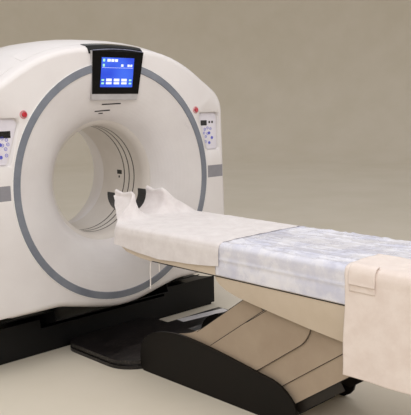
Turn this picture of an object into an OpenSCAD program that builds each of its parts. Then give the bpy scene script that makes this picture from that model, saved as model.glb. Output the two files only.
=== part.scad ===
// Computed tomography scanner: a tilting ring-shaped gantry on a fixed base, and a lifting patient table.
// All lengths are millimetres. The origin is on the floor under the isocentre, +Y runs into the gantry,
// the table stands towards -Y, and +Z is up.

/* [Gantry] */
// Height of the isocentre above the floor
iso_h = 1045; // [1035:1:1075]
// Radius of the patient bore
bore_r = 350; // [335:1:352]
// Outer radius of the grey trim ring
ring_r = 742; // [735:1:748]
// Width of the grey trim ring
ring_w = 46; // [30:1:60]
// Distance from the scan plane to the front face
face_y = 430; // [425:1:445]
// Distance from the scan plane to the rear face
rear_y = 500; // [490:1:515]
// Half width of the front cover
cover_w = 950; // [940:1:965]
// Height of the front cover's top above the isocentre
cover_top = 862; // [850:1:880]
// Depth of the front cover's bottom edge below the isocentre
cover_bottom = 712; // [700:1:718]
// How far the bottom edge dips under the ring
cover_dip = 106; // [90:1:110]
// How far the side and top covers swell outwards
cover_swell = 52; // [30:1:56]
// Wall thickness of the moulded covers
wall = 6; // [4:0.5:8]
// Gap between neighbouring covers
seam = 2; // [1:0.5:4]
// Half width of the top cover
top_cover_w = 600; // [500:5:680]

/* [Gantry base] */
// Half width of the black base
base_w = 1000; // [960:5:1040]
// Distance from the scan plane to the front of the base
base_front = 222; // [200:1:240]
// Distance from the scan plane to the rear of the base
base_rear = 400; // [350:5:430]
// Radius that the base leaves free under the middle of the gantry
sweep_mid_r = 908; // [904:1:920]
// Radius that the base leaves free under the sides of the gantry
sweep_side_r = 852; // [846:1:865]
// Half width of the deeper middle of that hollow
sweep_mid_w = 500; // [480:5:540]
// Height of the recessed plinth under the base
plinth_h = 18; // [10:1:25]

/* [Tilt support] */
// Distance from the middle to the inner face of a column
column_x = 792; // [785:1:800]
// Thickness of a column
column_t = 78; // [60:1:82]
// Radius of a column's bearing eye
column_eye_r = 120; // [100:1:130]
// Radius of a trunnion pin
trunnion_r = 45; // [35:1:55]
// Radial clearance of the trunnion pin
trunnion_gap = 0.1; // [0.05:0.05:0.3]

/* [Rotor] */
// Outer radius of the rotor disc
rotor_r = 665; // [640:5:675]
// Inner radius of the rotor disc
rotor_in_r = 400; // [390:1:410]
// Thickness of the rotor disc
rotor_t = 40; // [30:1:45]
// Radius of the tube's focal spot
focus_r = 560; // [540:5:570]
// Radius of the detector's face from the isocentre
detector_r = 440; // [430:5:460]
// Half angle of the detector arc, seen from the isocentre
detector_angle = 44; // [35:1:50]
// Radius of the motor pulley
pulley_r = 60; // [50:1:70]

/* [Display] */
// Half width of the display at its top
display_w = 192; // [170:1:200]
// Half width of the display at its bottom
display_low_w = 175; // [160:1:190]
// Height of the display's top edge above the isocentre
display_top = 802; // [790:1:806]
// Height of the display's bottom edge above the isocentre
display_bottom = 548; // [530:1:560]
// Half width of the lit screen
screen_w = 122; // [100:1:140]
// Height of the lit screen
screen_h = 176; // [150:1:190]

/* [Controls] */
// Distance of the stop buttons from the middle
stop_x = 650; // [640:1:662]
// Height of the stop buttons above the isocentre
stop_z = 438; // [430:1:450]
// Radius of a stop button's head
stop_r = 15; // [12:0.5:18]
// Travel of a stop button
stop_travel = 4; // [2:0.5:6]
// Radius of a panel key
key_r = 10; // [7:0.5:12]
// Travel of a panel key
key_travel = 2; // [1:0.25:2.5]
// Depth of the pockets that hold the control panels
pocket_depth = 26; // [20:1:32]

/* [Table base] */
// Half width of the table base over its skirts
table_base_w = 247; // [243:1:252]
// Thickness of a skirt
skirt_t = 14; // [8:1:15]
// Height of a skirt at its highest point
skirt_h = 288; // [270:1:292]
// Half width of the floor plate
plate_w = 350; // [320:5:380]
// Height of the floor plate
plate_h = 52; // [40:1:60]

/* [Lift linkage] */
// Length of the lift leg between its pivots
leg_len = 850; // [840:1:860]
// Angle of the lift leg above the floor, as it stands here
leg_angle = 35.2; // [34:0.1:36]
// Height of the lower pivots
pivot_z = 130; // [125:1:134]
// Distance from the scan plane to the lift leg's lower pivot
leg_y = 1457; // [1440:1:1470]
// Distance from the lift leg's lower pivot to the guide link's
link_gap = 297; // [285:1:305]
// Radius of the pivot shafts
shaft_r = 18; // [14:1:20]
// Radial clearance of the pivot shafts
shaft_gap = 0.1; // [0.05:0.05:0.3]
// Radial clearance of the guide link's upper pivot
open_gap = 0.6; // [0.3:0.1:1.5]

/* [Tabletop] */
// Half width of the table body
body_w = 320; // [312:1:326]
// Distance from the scan plane to the body's head end
body_head = 800; // [790:1:815]
// Distance from the scan plane to the body's foot end
body_foot = 3190; // [3100:10:3240]
// Height of the body's bottom edge
body_low = 692; // [688:1:696]
// Height of the top of the side beams
body_top = 856; // [850:1:858]
// Half width of the cradle
cradle_w = 210; // [195:1:215]
// Distance from the scan plane to the cradle's head end
cradle_head = 712; // [705:1:730]
// Length of the cradle
cradle_len = 2380; // [2300:10:2420]
// Height of the cradle's top edge
cradle_top = 846; // [843:0.5:847]
// Thickness of the mattress pad
pad_t = 18; // [12:1:19]
// Inner radius of the head holder
holder_r = 115; // [112:1:118]
// Length of the head holder
holder_len = 262; // [240:1:275]
// Thickness of the covers and sheets laid over the table
sheet_t = 3; // [2:0.5:4]

/* [Fits] */
// Gap between two pieces that are fastened together
seat = 0.2; // [0.1:0.05:0.3]
// Gap between two pieces that slide past each other
slide = 0.3; // [0.2:0.05:0.6]

/* [Hidden] */
$fn = 96;

// Plain geometry helpers

// The 2-D vector that points to the left of u
function left_of(u) = [-u[1], u[0]];
function unit(v) = v / norm(v);
function reversed(p) = [for (i = [len(p) - 1:-1:0]) p[i]];
function turned(v, a) = [v[0] * cos(a) - v[1] * sin(a), v[0] * sin(a) + v[1] * cos(a)];

// An outline moved inwards by d, for corners listed anticlockwise
function inset(p, d) = let(n = len(p)) [
    for (i = [0:n - 1])
        let(a = left_of(unit(p[i] - p[(i + n - 1) % n])), b = left_of(unit(p[(i + 1) % n] - p[i])))
        p[i] + d * (a + b) / (1 + a * b)
];

// The arc that rounds one corner of an outline
function corner_arc(before, at, after, r, steps) =
    let(u = unit(at - before), v = unit(after - at),
        bend = atan2(u[0] * v[1] - u[1] * v[0], u * v),
        side = bend < 0 ? -1 : 1,
        start = at - u * r * tan(abs(bend) / 2),
        centre = start + left_of(u) * r * side)
    [for (k = [0:steps]) centre - turned(left_of(u) * r * side, bend * k / steps)];

// An outline with every corner rounded to its own radius
function rounded(p, radii, steps) = let(n = len(p)) [
    for (i = [0:n - 1]) each corner_arc(p[(i + n - 1) % n], p[i], p[(i + 1) % n], radii[i], steps)
];

// A closed skin through rings of points, all of one length
module skin(rings) {
    n = len(rings[0]);
    m = len(rings);
    polyhedron(
        [for (ring = rings) each ring],
        concat(
            [for (j = [0:m - 2], i = [0:n - 1]) [j * n + i, j * n + (i + 1) % n, (j + 1) * n + (i + 1) % n]],
            [for (j = [0:m - 2], i = [0:n - 1]) [j * n + i, (j + 1) * n + (i + 1) % n, (j + 1) * n + i]],
            [[for (i = [n - 1:-1:0]) i]],
            [[for (i = [0:n - 1]) (m - 1) * n + i]]
        )
    );
}

// Turns a drawing in X and depth so that its depth axis becomes the bore's axis
module around_bore() translate([0, 0, iso_h]) rotate([-90, 0, 0]) children();

// A ring around the bore from y0 to y1
module bore_ring(inner, outer, y0, y1, facets = 128) {
    around_bore() translate([0, 0, y0]) difference() {
        cylinder(h = y1 - y0, r = outer, $fn = facets);
        translate([0, 0, -1]) cylinder(h = y1 - y0 + 2, r = inner, $fn = facets);
    }
}

// A profile in radius and Y turned about the bore's axis
module bore_turned(profile, facets = 128) {
    around_bore() rotate_extrude($fn = facets) polygon(profile);
}

// A flat shape in Y and Z given a thickness along X
module across(x0, x1, shape) {
    translate([x0, 0, 0]) rotate([90, 0, 90]) linear_extrude(x1 - x0) polygon(shape);
}

// A flat shape in X and height above the isocentre, standing from y0 to y1
module upright(y0, y1, shape) {
    translate([0, y1, iso_h]) rotate([90, 0, 0]) linear_extrude(y1 - y0) polygon(shape);
}

module box(low, high) {
    translate(low) cube(high - low);
}

// A quadratic curve's points between two ends
function curve(a, b, c, steps) = [
    for (k = [0:steps]) let(t = k / steps) (1 - t) * (1 - t) * a + 2 * t * (1 - t) * b + t * t * c
];

// Gantry covers

shoulder_x = 500;
shoulder_z = 790;
cheek_in = 38;
cheek_z = 525;
dip_x = 460;
dip_r = 790;
dip_side_r = 500;
foot_r = 50;
cheek_r = 180;
shoulder_r = 900;
top_r = 2000;
round_steps = 5;
big = 1400;

// The front view of the covers about the isocentre, anticlockwise from the bottom
function cover_corners(dip) = concat(
    dip > 0 ? [[0, -cover_bottom - dip], [dip_x, -cover_bottom]] : [],
    [[cover_w, -cover_bottom], [cover_w - cheek_in, cheek_z], [shoulder_x, shoulder_z], [0, cover_top],
        [-shoulder_x, shoulder_z], [-cover_w + cheek_in, cheek_z], [-cover_w, -cover_bottom]],
    dip > 0 ? [[-dip_x, -cover_bottom]] : []
);
function cover_radii(dip, d) = concat(
    dip > 0 ? [dip_r - d, dip_side_r + d] : [],
    [for (r = [foot_r, cheek_r, shoulder_r, top_r, shoulder_r, cheek_r, foot_r]) max(8, r - d)],
    dip > 0 ? [dip_side_r + d] : []
);
function cover_line(d, dip) = rounded(inset(cover_corners(dip), d), cover_radii(dip, d), round_steps);
function cover_ring(y, d, dip) = [for (p = cover_line(d, dip)) [p[0], y, iso_h + p[1]]];
// The covers' half width at a height z above the isocentre, and their height at a distance x from the middle
function cover_side(d, z) =
    lookup(z, [for (p = cover_line(d, 0)) if (p[0] > cover_w * 0.8) [p[1], p[0]]]);
function cover_height(d, x) =
    lookup(x, [for (p = cover_line(d, 0)) if (p[1] > cover_top * 0.7) [p[0], p[1]]]);

// Each station of a cover is its distance along Y and how far its outline is drawn in
function beyond(end, next, e) = end + (end - next) * e / abs(end[0] - next[0]);
function stretched(s, e) = let(n = len(s) - 1)
    concat([beyond(s[0], s[1], e)], s, [beyond(s[n], s[n - 1], e)]);
// The covers' form through the stations, drawn in by d and cut off square at y0 and y1
module cover_form(stations, d, y0, y1, dip) {
    intersection() {
        skin([for (s = stretched(stations, 12)) cover_ring(s[0], s[1] + d, dip)]);
        box([-big, y0, iso_h - big], [big, y1, iso_h + big]);
    }
}
// Slots in the bottom of the covers, which let the columns through when the gantry tilts
slot_gap = 8;
module column_slots(y0, y1) {
    w = column_t / 2 + slot_gap;
    for (side = [-1, 1]) translate([side * (column_x + column_t / 2), 0, 0])
        box([-w, y0, iso_h - big], [w, y1, iso_h - cover_bottom + 60]);
}
// A shell whose ends are open, or closed by a wall
module cover_shell(stations, front_wall, rear_wall, dip) {
    y0 = stations[0][0];
    y1 = stations[len(stations) - 1][0];
    difference() {
        cover_form(stations, 0, y0, y1, dip);
        cover_form(stations, wall, y0 + (front_wall ? wall : -5), y1 - (rear_wall ? wall : -5), dip);
    }
}

front_seam_y = -face_y + 72;
rear_seam_y = rear_y - 138;
front_stations = [[-face_y, 40], [-face_y + 6, 18], [-face_y + 25, 3], [front_seam_y, -8]];
middle_stations = [
    [front_seam_y + seam, -9], [-250, -cover_swell * 0.7], [-50, -cover_swell], [150, -cover_swell * 0.95],
    [rear_seam_y - seam, -20]
];
rear_stations = [[rear_seam_y, -20], [rear_y - 60, 0], [rear_y - 16, 20], [rear_y, 46]];

// Outline of a control panel's pocket, on the side given by the sign
pocket_top = 422;
pocket_low = 156;
pocket_in = 752;
pocket_out = 872;
pocket_top_in = 668;
function pocket_shape(side, d) = let(
    low = pocket_low + d,
    top = pocket_top - d,
    p = [[pocket_in + d, low], [pocket_out - d, low], [pocket_out - 4 - d, top], [pocket_top_in + d, top]],
    line = rounded(p, [20, 20, 30, 30], 3))
    side > 0 ? line : [for (p = reversed(line)) [-p[0], p[1]]];
tray_wall = 4;

stripe_z = 8;
stripe_h = 84;
stripe_in = 756;
stripe_out = 900;
stripe_t = 2;
module stripe(side, from_y, to_y) {
    x0 = side > 0 ? stripe_in : -stripe_out;
    z0 = iso_h + stripe_z - stripe_h / 2;
    box([x0, from_y, z0], [x0 + stripe_out - stripe_in, to_y, z0 + stripe_h]);
}

// The display's place in the front cover, drawn d larger
housing_lip = 38;
display_back = 376;
display_proud = 26;
function display_shape(d) = let(lip_w = display_low_w - 4 + d, lip_z = display_bottom - housing_lip - d) [
    [-lip_w, lip_z], [lip_w, lip_z], [display_low_w + d, display_bottom], [display_w + d, display_top + d],
    [-display_w - d, display_top + d], [-display_low_w - d, display_bottom]
];
module display_space(d) {
    upright(-face_y - display_proud - 10, -display_back + d, display_shape(d));
}

module front_cover() {
    color("#ece7e4") difference() {
        union() {
            difference() {
                cover_shell(front_stations, true, false, cover_dip);
                for (side = [-1, 1]) {
                    upright(-face_y - 1, -face_y + pocket_depth, pocket_shape(side, 0));
                    stripe(side, -face_y - 1, -face_y + stripe_t);
                }
                column_slots(-face_y + 2 * wall, front_seam_y + 1);
            }
            for (side = [-1, 1]) difference() {
                upright(-face_y + 0.5, -face_y + pocket_depth + tray_wall, pocket_shape(side, -tray_wall));
                upright(-face_y - 1, -face_y + pocket_depth, pocket_shape(side, 0));
            }
        }
        bore_ring(0, ring_r + seat, -face_y - 10, -front_seam_y);
        display_space(seat);
        for (side = [-1, 1]) translate([side * stop_x, -face_y - 1, iso_h + stop_z]) rotate([-90, 0, 0])
            cylinder(h = 40, r = stop_r - 4 + slide, $fn = 48);
        for (side = [-1, 1], k = [0:2]) key_bore(side, k);
    }
}

ring_proud = 5;
ring_back = 14;
module ring_trim() {
    color("#7d8189") difference() {
        bore_turned([
            [ring_r - ring_w, -face_y], [ring_r - ring_w + 3, -face_y - ring_proud],
            [ring_r - 3, -face_y - ring_proud], [ring_r, -face_y],
            [ring_r, -face_y + ring_back], [ring_r - ring_w, -face_y + ring_back]
        ]);
        display_space(seat);
    }
}

// The dish between the grey ring and the bore
throat_r = bore_r + 35;
throat_y = 250;
dish_mid = [bore_r + 105, -376];
dish_steps = 14;
module funnel_cover() {
    outer = curve([throat_r, -throat_y - seat], dish_mid, [ring_r - ring_w - seat, -face_y + 1], dish_steps);
    back = curve([ring_r - ring_w - seat, -face_y + 1 + wall], dish_mid + [2, wall + 1],
        [throat_r + wall, -throat_y - seat], dish_steps);
    color("#e6e1de") difference() {
        bore_turned(concat(outer, back));
        display_space(seat);
    }
}

liner_t = 5;
liner_front = 196;
liner_rear = 238;
module bore_liner() {
    lip = curve([throat_r, -throat_y], [bore_r + 4, -throat_y + 16], [bore_r, -liner_front], 8);
    lip_back = curve([bore_r + liner_t, -liner_front], [bore_r + 5 + liner_t, -throat_y + 19],
        [throat_r + 4, -throat_y + 3], 8);
    tube = [[bore_r, liner_rear], [bore_r + liner_t, liner_rear]];
    color("#d9d4cf") bore_turned(concat(lip, tube, lip_back));
}

side_cover_low = -700;
module middle_cover() {
    cover_shell(middle_stations, false, false, cover_dip);
}

module top_cover() {
    color("#ece7e4") intersection() {
        middle_cover();
        box([-top_cover_w, -big, iso_h], [top_cover_w, big, iso_h + big]);
    }
}

module side_cover(side) {
    color("#e4dfdb") intersection() {
        middle_cover();
        box([side > 0 ? top_cover_w + seam : -big, -big, iso_h + side_cover_low],
            [side > 0 ? big : -top_cover_w - seam, big, iso_h + big]);
    }
}
module left_side_cover() side_cover(-1);
module right_side_cover() side_cover(1);

rear_mouth_r = 470;
module rear_cover() {
    color("#e4dfdb") difference() {
        cover_shell(rear_stations, false, true, 0);
        bore_ring(0, rear_mouth_r + seat, rear_seam_y, rear_y + 10);
        column_slots(rear_seam_y - 1, rear_y - slot_gap);
    }
}

module rear_funnel() {
    joint_y = liner_rear + seat;
    front = curve([bore_r, joint_y], [bore_r + 8, rear_y - 60], [rear_mouth_r, rear_y - 2], dish_steps);
    back = curve([rear_mouth_r, rear_y - 2 - wall], [bore_r + 14, rear_y - 72],
        [bore_r + liner_t, joint_y], dish_steps);
    color("#dedad6") bore_turned(concat(front, back));
}

// The black cover under the gantry follows a circle about the tilt axis
belly_r = 886;
belly_side_r = 820;
belly_t = 5;
belly_angle = 22;
belly_mid_w = 452;
belly_side_w = 770;
module belly_cover() {
    profile = [
        [belly_side_r - belly_t, -belly_side_w], [belly_side_r, -belly_side_w], [belly_side_r, -belly_mid_w],
        [belly_r, -belly_mid_w], [belly_r, belly_mid_w], [belly_side_r, belly_mid_w],
        [belly_side_r, belly_side_w], [belly_side_r - belly_t, belly_side_w],
        [belly_side_r - belly_t, belly_mid_w - belly_t],
        [belly_r - belly_t, belly_mid_w - belly_t], [belly_r - belly_t, -belly_mid_w + belly_t],
        [belly_side_r - belly_t, -belly_mid_w + belly_t]
    ];
    color("#17191a") translate([0, 0, iso_h]) rotate([0, 90, 0]) rotate([0, 0, -belly_angle])
        rotate_extrude(angle = 2 * belly_angle, $fn = 256) polygon(profile);
}

// Display

module display_housing() {
    color("#121314") difference() {
        upright(-face_y - display_proud, -display_back, display_shape(0));
        upright(-face_y - display_proud - 1, -face_y - display_proud + 4, screen_shape(0));
    }
}

screen_mid = (display_top + display_bottom) / 2 + 2;
function screen_shape(d) = let(w = screen_w - d, h = screen_h / 2 - d) [
    [-w, screen_mid - h], [w, screen_mid - h], [w, screen_mid + h], [-w, screen_mid + h]
];
module display_screen() {
    color("#3c5af0") upright(-face_y - display_proud + 1, -face_y - display_proud + 4, screen_shape(0.3));
}

// A black strap runs from the display over the top edge of the front cover, and follows the round of its top
cap_t = 3;
cap_w = display_w + 14;
cap_low = display_top - 8;
top_mid_z = cover_top - top_r / cos(atan((cover_top - shoulder_z) / shoulder_x));
function cap_line(d) = concat(
    [[cap_low - top_mid_z, -face_y - d], [top_r - front_stations[0][1] + d, -face_y - d]],
    [for (k = [1, 2]) [top_r - front_stations[k][1] + d, front_stations[k][0]]],
    [[top_r - front_stations[3][1] + d, front_seam_y - 1]]
);
module display_cap() {
    over = cap_line(slide + cap_t);
    under = cap_line(slide);
    half = asin(cap_w / top_r);
    color("#121314") difference() {
        translate([0, 0, iso_h + top_mid_z]) rotate([-90, 0, 0]) rotate([0, 0, -90 - half])
            rotate_extrude(angle = 2 * half, $fn = 360) polygon(concat(over, reversed(under)));
        display_space(seat);
    }
}

// Controls

face_t = 6;
panel_margin = 9;
module control_panel(side) {
    back = -face_y + pocket_depth - seat;
    color("#e9e6ea") difference() {
        upright(back - face_t, back, pocket_shape(side, panel_margin));
        for (k = [0:2]) key_bore(side, k);
    }
}
module left_panel() control_panel(-1);
module right_panel() control_panel(1);

key_x = 792;
key_pitch = 34;
key_z = 208;
key_step = 26;
key_gap = 0.3;
function key_place(side, k) =
    [side * (key_x + (k % 2 == 0 ? 0 : key_step)), -face_y + pocket_depth, iso_h + key_z + key_pitch * k];
module key_bore(side, k) {
    translate(key_place(side, k) - [0, face_t + 3, 0]) rotate([-90, 0, 0])
        cylinder(h = face_t + tray_wall + 6, r = key_r + key_gap, $fn = 48);
}
module panel_key(side, k) {
    place = key_place(side, k) - [0, face_t + seat + key_travel + 1, 0];
    color("#5a63c8") translate(place) rotate([-90, 0, 0])
        cylinder(h = face_t + key_travel, r = key_r, $fn = 48);
}
module left_key_1() panel_key(-1, 0);
module left_key_2() panel_key(-1, 1);
module left_key_3() panel_key(-1, 2);
module right_key_1() panel_key(1, 0);
module right_key_2() panel_key(1, 1);
module right_key_3() panel_key(1, 2);

stop_head = 9;
stop_stem = 20;
module stop_button(side) {
    place = [side * stop_x, -face_y - stop_travel - 1, iso_h + stop_z];
    color("#d63a4c") translate(place) rotate([-90, 0, 0]) union() {
        translate([0, 0, -stop_head]) cylinder(h = stop_head, r1 = stop_r - 2, r2 = stop_r, $fn = 48);
        cylinder(h = stop_travel + 1 + stop_stem, r = stop_r - 4, $fn = 48);
    }
}
module left_stop_button() stop_button(-1);
module right_stop_button() stop_button(1);

module side_stripes() {
    color("#9a9ba2") for (side = [-1, 1]) stripe(side, -face_y + 0.2, -face_y + stripe_t);
}

// Tilting frame and drive

frame_y = 96;
frame_t = 50;
frame_in_r = 512;
frame_out_r = 700;
arm_z = 150;
arm_x = column_x - 12;
arm_depth = 90;
motor_x = 690;
motor_z = -560;
motor_r = 72;
module tilt_frame() {
    color("#8d9196") difference() {
        union() {
            bore_ring(frame_in_r, frame_out_r, frame_y, frame_y + frame_t);
            for (side = [-1, 1]) {
                box([side > 0 ? frame_in_r + 60 : -arm_x, -arm_depth, iso_h - arm_z],
                    [side > 0 ? arm_x : -frame_in_r - 60, frame_y + frame_t, iso_h + arm_z]);
                translate([side > 0 ? arm_x : -column_x - column_t, 0, iso_h]) rotate([0, 90, 0])
                    cylinder(h = column_x + column_t - arm_x, r = trunnion_r, $fn = 96);
                cover_bars(side);
            }
            box([motor_x - 230, frame_y, iso_h + motor_z - motor_r],
                [motor_x + motor_r, frame_y + frame_t, iso_h + motor_z + motor_r]);
        }
        bore_ring(0, frame_out_r - 6, -arm_depth - 1, frame_y);
        bore_ring(0, frame_in_r, frame_y - 1, frame_y + frame_t + 1);
        translate([motor_x, frame_y - 1, iso_h + motor_z]) rotate([-90, 0, 0])
            cylinder(h = frame_t + 2, r = 24, $fn = 48);
        box([frame_in_r, belt_y - 10, iso_h - arm_z - 1], [motor_x + 50, frame_y, iso_h]);
    }
}

// Bars that carry the covers, on one side of the frame
bar_low = 125;
module cover_bars(side) {
    x_in = frame_out_r + 40;
    // To the top cover and the side cover
    inside = wall + seat - cover_swell * 0.95;
    beside = wall + seat - cover_swell * 0.97;
    x0 = side * 200 - 20;
    x1 = side * 200 + 20;
    upright(frame_y + 5, frame_y + 45, [
        [x0, 660], [x1, 660], [x1, cover_height(inside, x1)], [x0, cover_height(inside, x0)]
    ]);
    mirror([side > 0 ? 0 : 1, 0, 0]) upright(-40, 60, [
        [x_in, bar_low], [cover_side(beside, bar_low), bar_low],
        [cover_side(beside, arm_z), arm_z], [x_in, arm_z]
    ]);
    // To the front cover
    box([side > 0 ? x_in : -x_in - 40, -face_y + wall + seat, iso_h + bar_low],
        [side > 0 ? x_in + 40 : -x_in, -arm_depth + 1, iso_h + arm_z]);
    // To the rear cover
    for (up = [-1, 1]) translate([side * 490 - 20, frame_y + frame_t - 1, iso_h + up * 450 - 20])
        cube([40, rear_y - wall - seat - frame_y - frame_t + 1, 40]);
    // To the cover under the gantry
    intersection() {
        translate([side * 200 - 20, frame_y + 5, iso_h - 1000]) cube([40, 40, 340]);
        translate([0, 0, iso_h]) rotate([0, 90, 0]) translate([0, 0, -big])
            cylinder(h = 2 * big, r = belly_r - belly_t - 2 * seat, $fn = 256);
    }
}

race_gap = 0.5;
race_mid_r = 490;
module bearing_outer_race() {
    color("#b9bcc0") bore_ring(race_mid_r + race_gap, frame_in_r, frame_y + 4, frame_y + frame_t - 4);
}
module bearing_inner_race() {
    color("#a9adb2") bore_ring(race_mid_r - 28, race_mid_r, frame_y + 4, frame_y + frame_t - 4);
}

rotor_back = frame_y - 12;
module rotor_disc() {
    color("#9fa4aa") union() {
        difference() {
            bore_ring(rotor_in_r, rotor_r, rotor_back - rotor_t, rotor_back);
            for (k = [0:7]) around_bore() rotate([0, 0, 22.5 + 45 * k])
                translate([590, 0, rotor_back - rotor_t - 1]) cylinder(h = rotor_t + 2, r = 34, $fn = 48);
        }
        bore_ring(rotor_in_r, race_mid_r - 28, rotor_back, frame_y + frame_t + 8);
    }
}

part_front = -190;
part_back = rotor_back - rotor_t;
module xray_tube() {
    color("#b9c0c4") union() {
        translate([0, part_back, iso_h + focus_r]) rotate([90, 0, 0])
            cylinder(h = part_back - part_front, r = 84, $fn = 64);
        box([-130, -30, iso_h + focus_r - 60], [130, part_back, iso_h + focus_r + 40]);
    }
}

module collimator() {
    color("#5c6268") difference() {
        box([-105, -70, iso_h + 405], [105, part_back, iso_h + focus_r - 90]);
        box([-60, -20, iso_h + 400], [60, 20, iso_h + focus_r - 80]);
    }
}

detector_t = 110;
module detector_arc() {
    steps = 24;
    function edge(r, a0, a1) = [
        for (k = [0:steps]) let(a = a0 + (a1 - a0) * k / steps) [r * sin(a), -r * cos(a)]
    ];
    color("#44494e") union() {
        upright(-70, 40, concat(edge(detector_r, -detector_angle, detector_angle),
            edge(detector_r + detector_t, detector_angle, -detector_angle)));
        upright(40, part_back, concat(edge(detector_r + 30, -detector_angle * 0.9, detector_angle * 0.9),
            edge(detector_r + detector_t, detector_angle * 0.9, -detector_angle * 0.9)));
    }
}

module rotor_box(angle, wide, low_r, high_r, front) {
    translate([0, 0, iso_h]) rotate([0, angle, 0])
        box([-wide / 2, front, low_r], [wide / 2, part_back, high_r]);
}

module generator() {
    color("#6d7378") union() {
        rotor_box(62, 220, 425, 600, -150);
        rotor_box(108, 200, 425, 600, -150);
    }
}

module heat_exchanger() {
    color("#a3a8ac") difference() {
        rotor_box(-66, 300, 425, 600, -160);
        for (k = [-3:3]) translate([0, 0, iso_h]) rotate([0, -66, 0])
            box([k * 38 - 10, -165, 440], [k * 38 + 10, -60, 585]);
    }
}

module slip_ring() {
    slots = 4;
    color("#c7b07a") difference() {
        bore_ring(rotor_in_r + 4, 455, frame_y + frame_t + 8, frame_y + frame_t + 62);
        for (k = [0:slots - 1])
            bore_ring(448, 460, frame_y + frame_t + 15 + 12 * k, frame_y + frame_t + 21 + 12 * k);
    }
}

belt_y = rotor_back - rotor_t + 5;
belt_w = 30;
belt_t = 5;
belt_gap = 1;
motor_shaft_r = 14;
module drive_motor() {
    back = frame_y + frame_t + seat;
    color("#50565b") translate([motor_x, 0, iso_h + motor_z]) rotate([-90, 0, 0]) union() {
        translate([-motor_r, -motor_r, back]) cube([2 * motor_r, 2 * motor_r, 20]);
        translate([0, 0, back + 19]) cylinder(h = 150, r = motor_r, $fn = 64);
        translate([0, 0, belt_y - 4]) cylinder(h = back - belt_y + 5, r = motor_shaft_r, $fn = 48);
    }
}

module motor_pulley() {
    color("#8f959a") translate([motor_x, belt_y - 2, iso_h + motor_z]) rotate([-90, 0, 0]) difference() {
        cylinder(h = belt_w + 4, r = pulley_r, $fn = 64);
        translate([0, 0, -1]) cylinder(h = belt_w + 6, r = motor_shaft_r + seat, $fn = 48);
    }
}

// The belt's line lies d outside the rotor and the pulley
module belt_line(d) {
    hull() {
        circle(r = rotor_r + d, $fn = 128);
        translate([motor_x, -motor_z]) circle(r = pulley_r + d, $fn = 64);
    }
}
module drive_belt() {
    color("#202224") around_bore() translate([0, 0, belt_y]) linear_extrude(belt_w) difference() {
        belt_line(belt_gap + belt_t);
        belt_line(belt_gap);
    }
}

// Fixed base

function sweep_arc(r, y0, y1, steps) = let(a0 = asin(y0 / r), a1 = asin(y1 / r)) [
    for (k = [0:steps]) let(a = a0 + (a1 - a0) * k / steps) [r * sin(a), iso_h - r * cos(a)]
];
function base_side(r) =
    concat([[base_rear, plinth_h], [-base_front, plinth_h]], sweep_arc(r, -base_front, base_rear, 24));

module gantry_base() {
    color("#141617") difference() {
        union() {
            across(-base_w, base_w, base_side(sweep_side_r));
            box([-base_w + 20, -base_front + 14, 0], [base_w - 20, base_rear - 14, plinth_h]);
        }
        translate([0, 0, iso_h]) rotate([0, 90, 0]) translate([0, 0, -sweep_mid_w])
            cylinder(h = sweep_mid_w * 2, r = sweep_mid_r, $fn = 256);
    }
}

column_foot = [30, 70];
column_waist_z = -600;
column_waist = 118;
module column(side) {
    x0 = side > 0 ? column_x : -column_x - column_t;
    foot_z = iso_h - sqrt(sweep_side_r * sweep_side_r - 100 * 100) - 30;
    color("#3a3f44") difference() {
        union() {
            across(x0, x0 + column_t, [
                [column_foot[0], foot_z], [column_foot[1], foot_z],
                [column_waist, iso_h + column_waist_z], [column_eye_r * 0.98, iso_h],
                [-column_eye_r * 0.98, iso_h], [-column_waist, iso_h + column_waist_z]
            ]);
            translate([x0, 0, iso_h]) rotate([0, 90, 0]) cylinder(h = column_t, r = column_eye_r, $fn = 96);
        }
        translate([x0 - 1, 0, iso_h]) rotate([0, 90, 0])
            cylinder(h = column_t + 2, r = trunnion_r + trunnion_gap, $fn = 96);
        translate([0, 0, iso_h]) rotate([0, 90, 0]) translate([0, 0, -base_w]) difference() {
            cylinder(h = base_w * 2, r = sweep_side_r + 150, $fn = 256);
            translate([0, 0, -1]) cylinder(h = base_w * 2 + 2, r = sweep_side_r - slide, $fn = 256);
        }
    }
}
module left_column() column(-1);
module right_column() column(1);

// Dark plate on the floor between the gantry and the table
plate_far = 905;
plate_corner = 120;
duct_w = 215;
nose_y = 935;
function plate_outline(d) = let(near = -base_front - seat) rounded(
    inset([[-plate_w, -plate_far], [plate_w, -plate_far], [plate_w, near], [-plate_w, near]], d),
    [200, 200, plate_corner - d, plate_corner - d], 8);
// A low duct with sloping sides leads from the plate to the right
duct_end = 905;
duct_near = 600;
duct_far = 355;
duct_h = 22;
duct_slope = 26;
module floor_plate() {
    color("#1b1a1c") union() {
        across(plate_w - 40, duct_end, [
            [-duct_near, 0], [-duct_far, 0], [-duct_far - 8, duct_h], [-duct_near + duct_slope, duct_h]
        ]);
        linear_extrude(20) polygon(plate_outline(0));
        translate([0, 0, 20]) linear_extrude(12) polygon(plate_outline(10));
        translate([0, 0, 32]) linear_extrude(plate_h - 32) polygon(plate_outline(4));
        box([-duct_w, -nose_y + seat, 0], [duct_w, -plate_far + 10, 20]);
    }
}

// Table base

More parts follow.
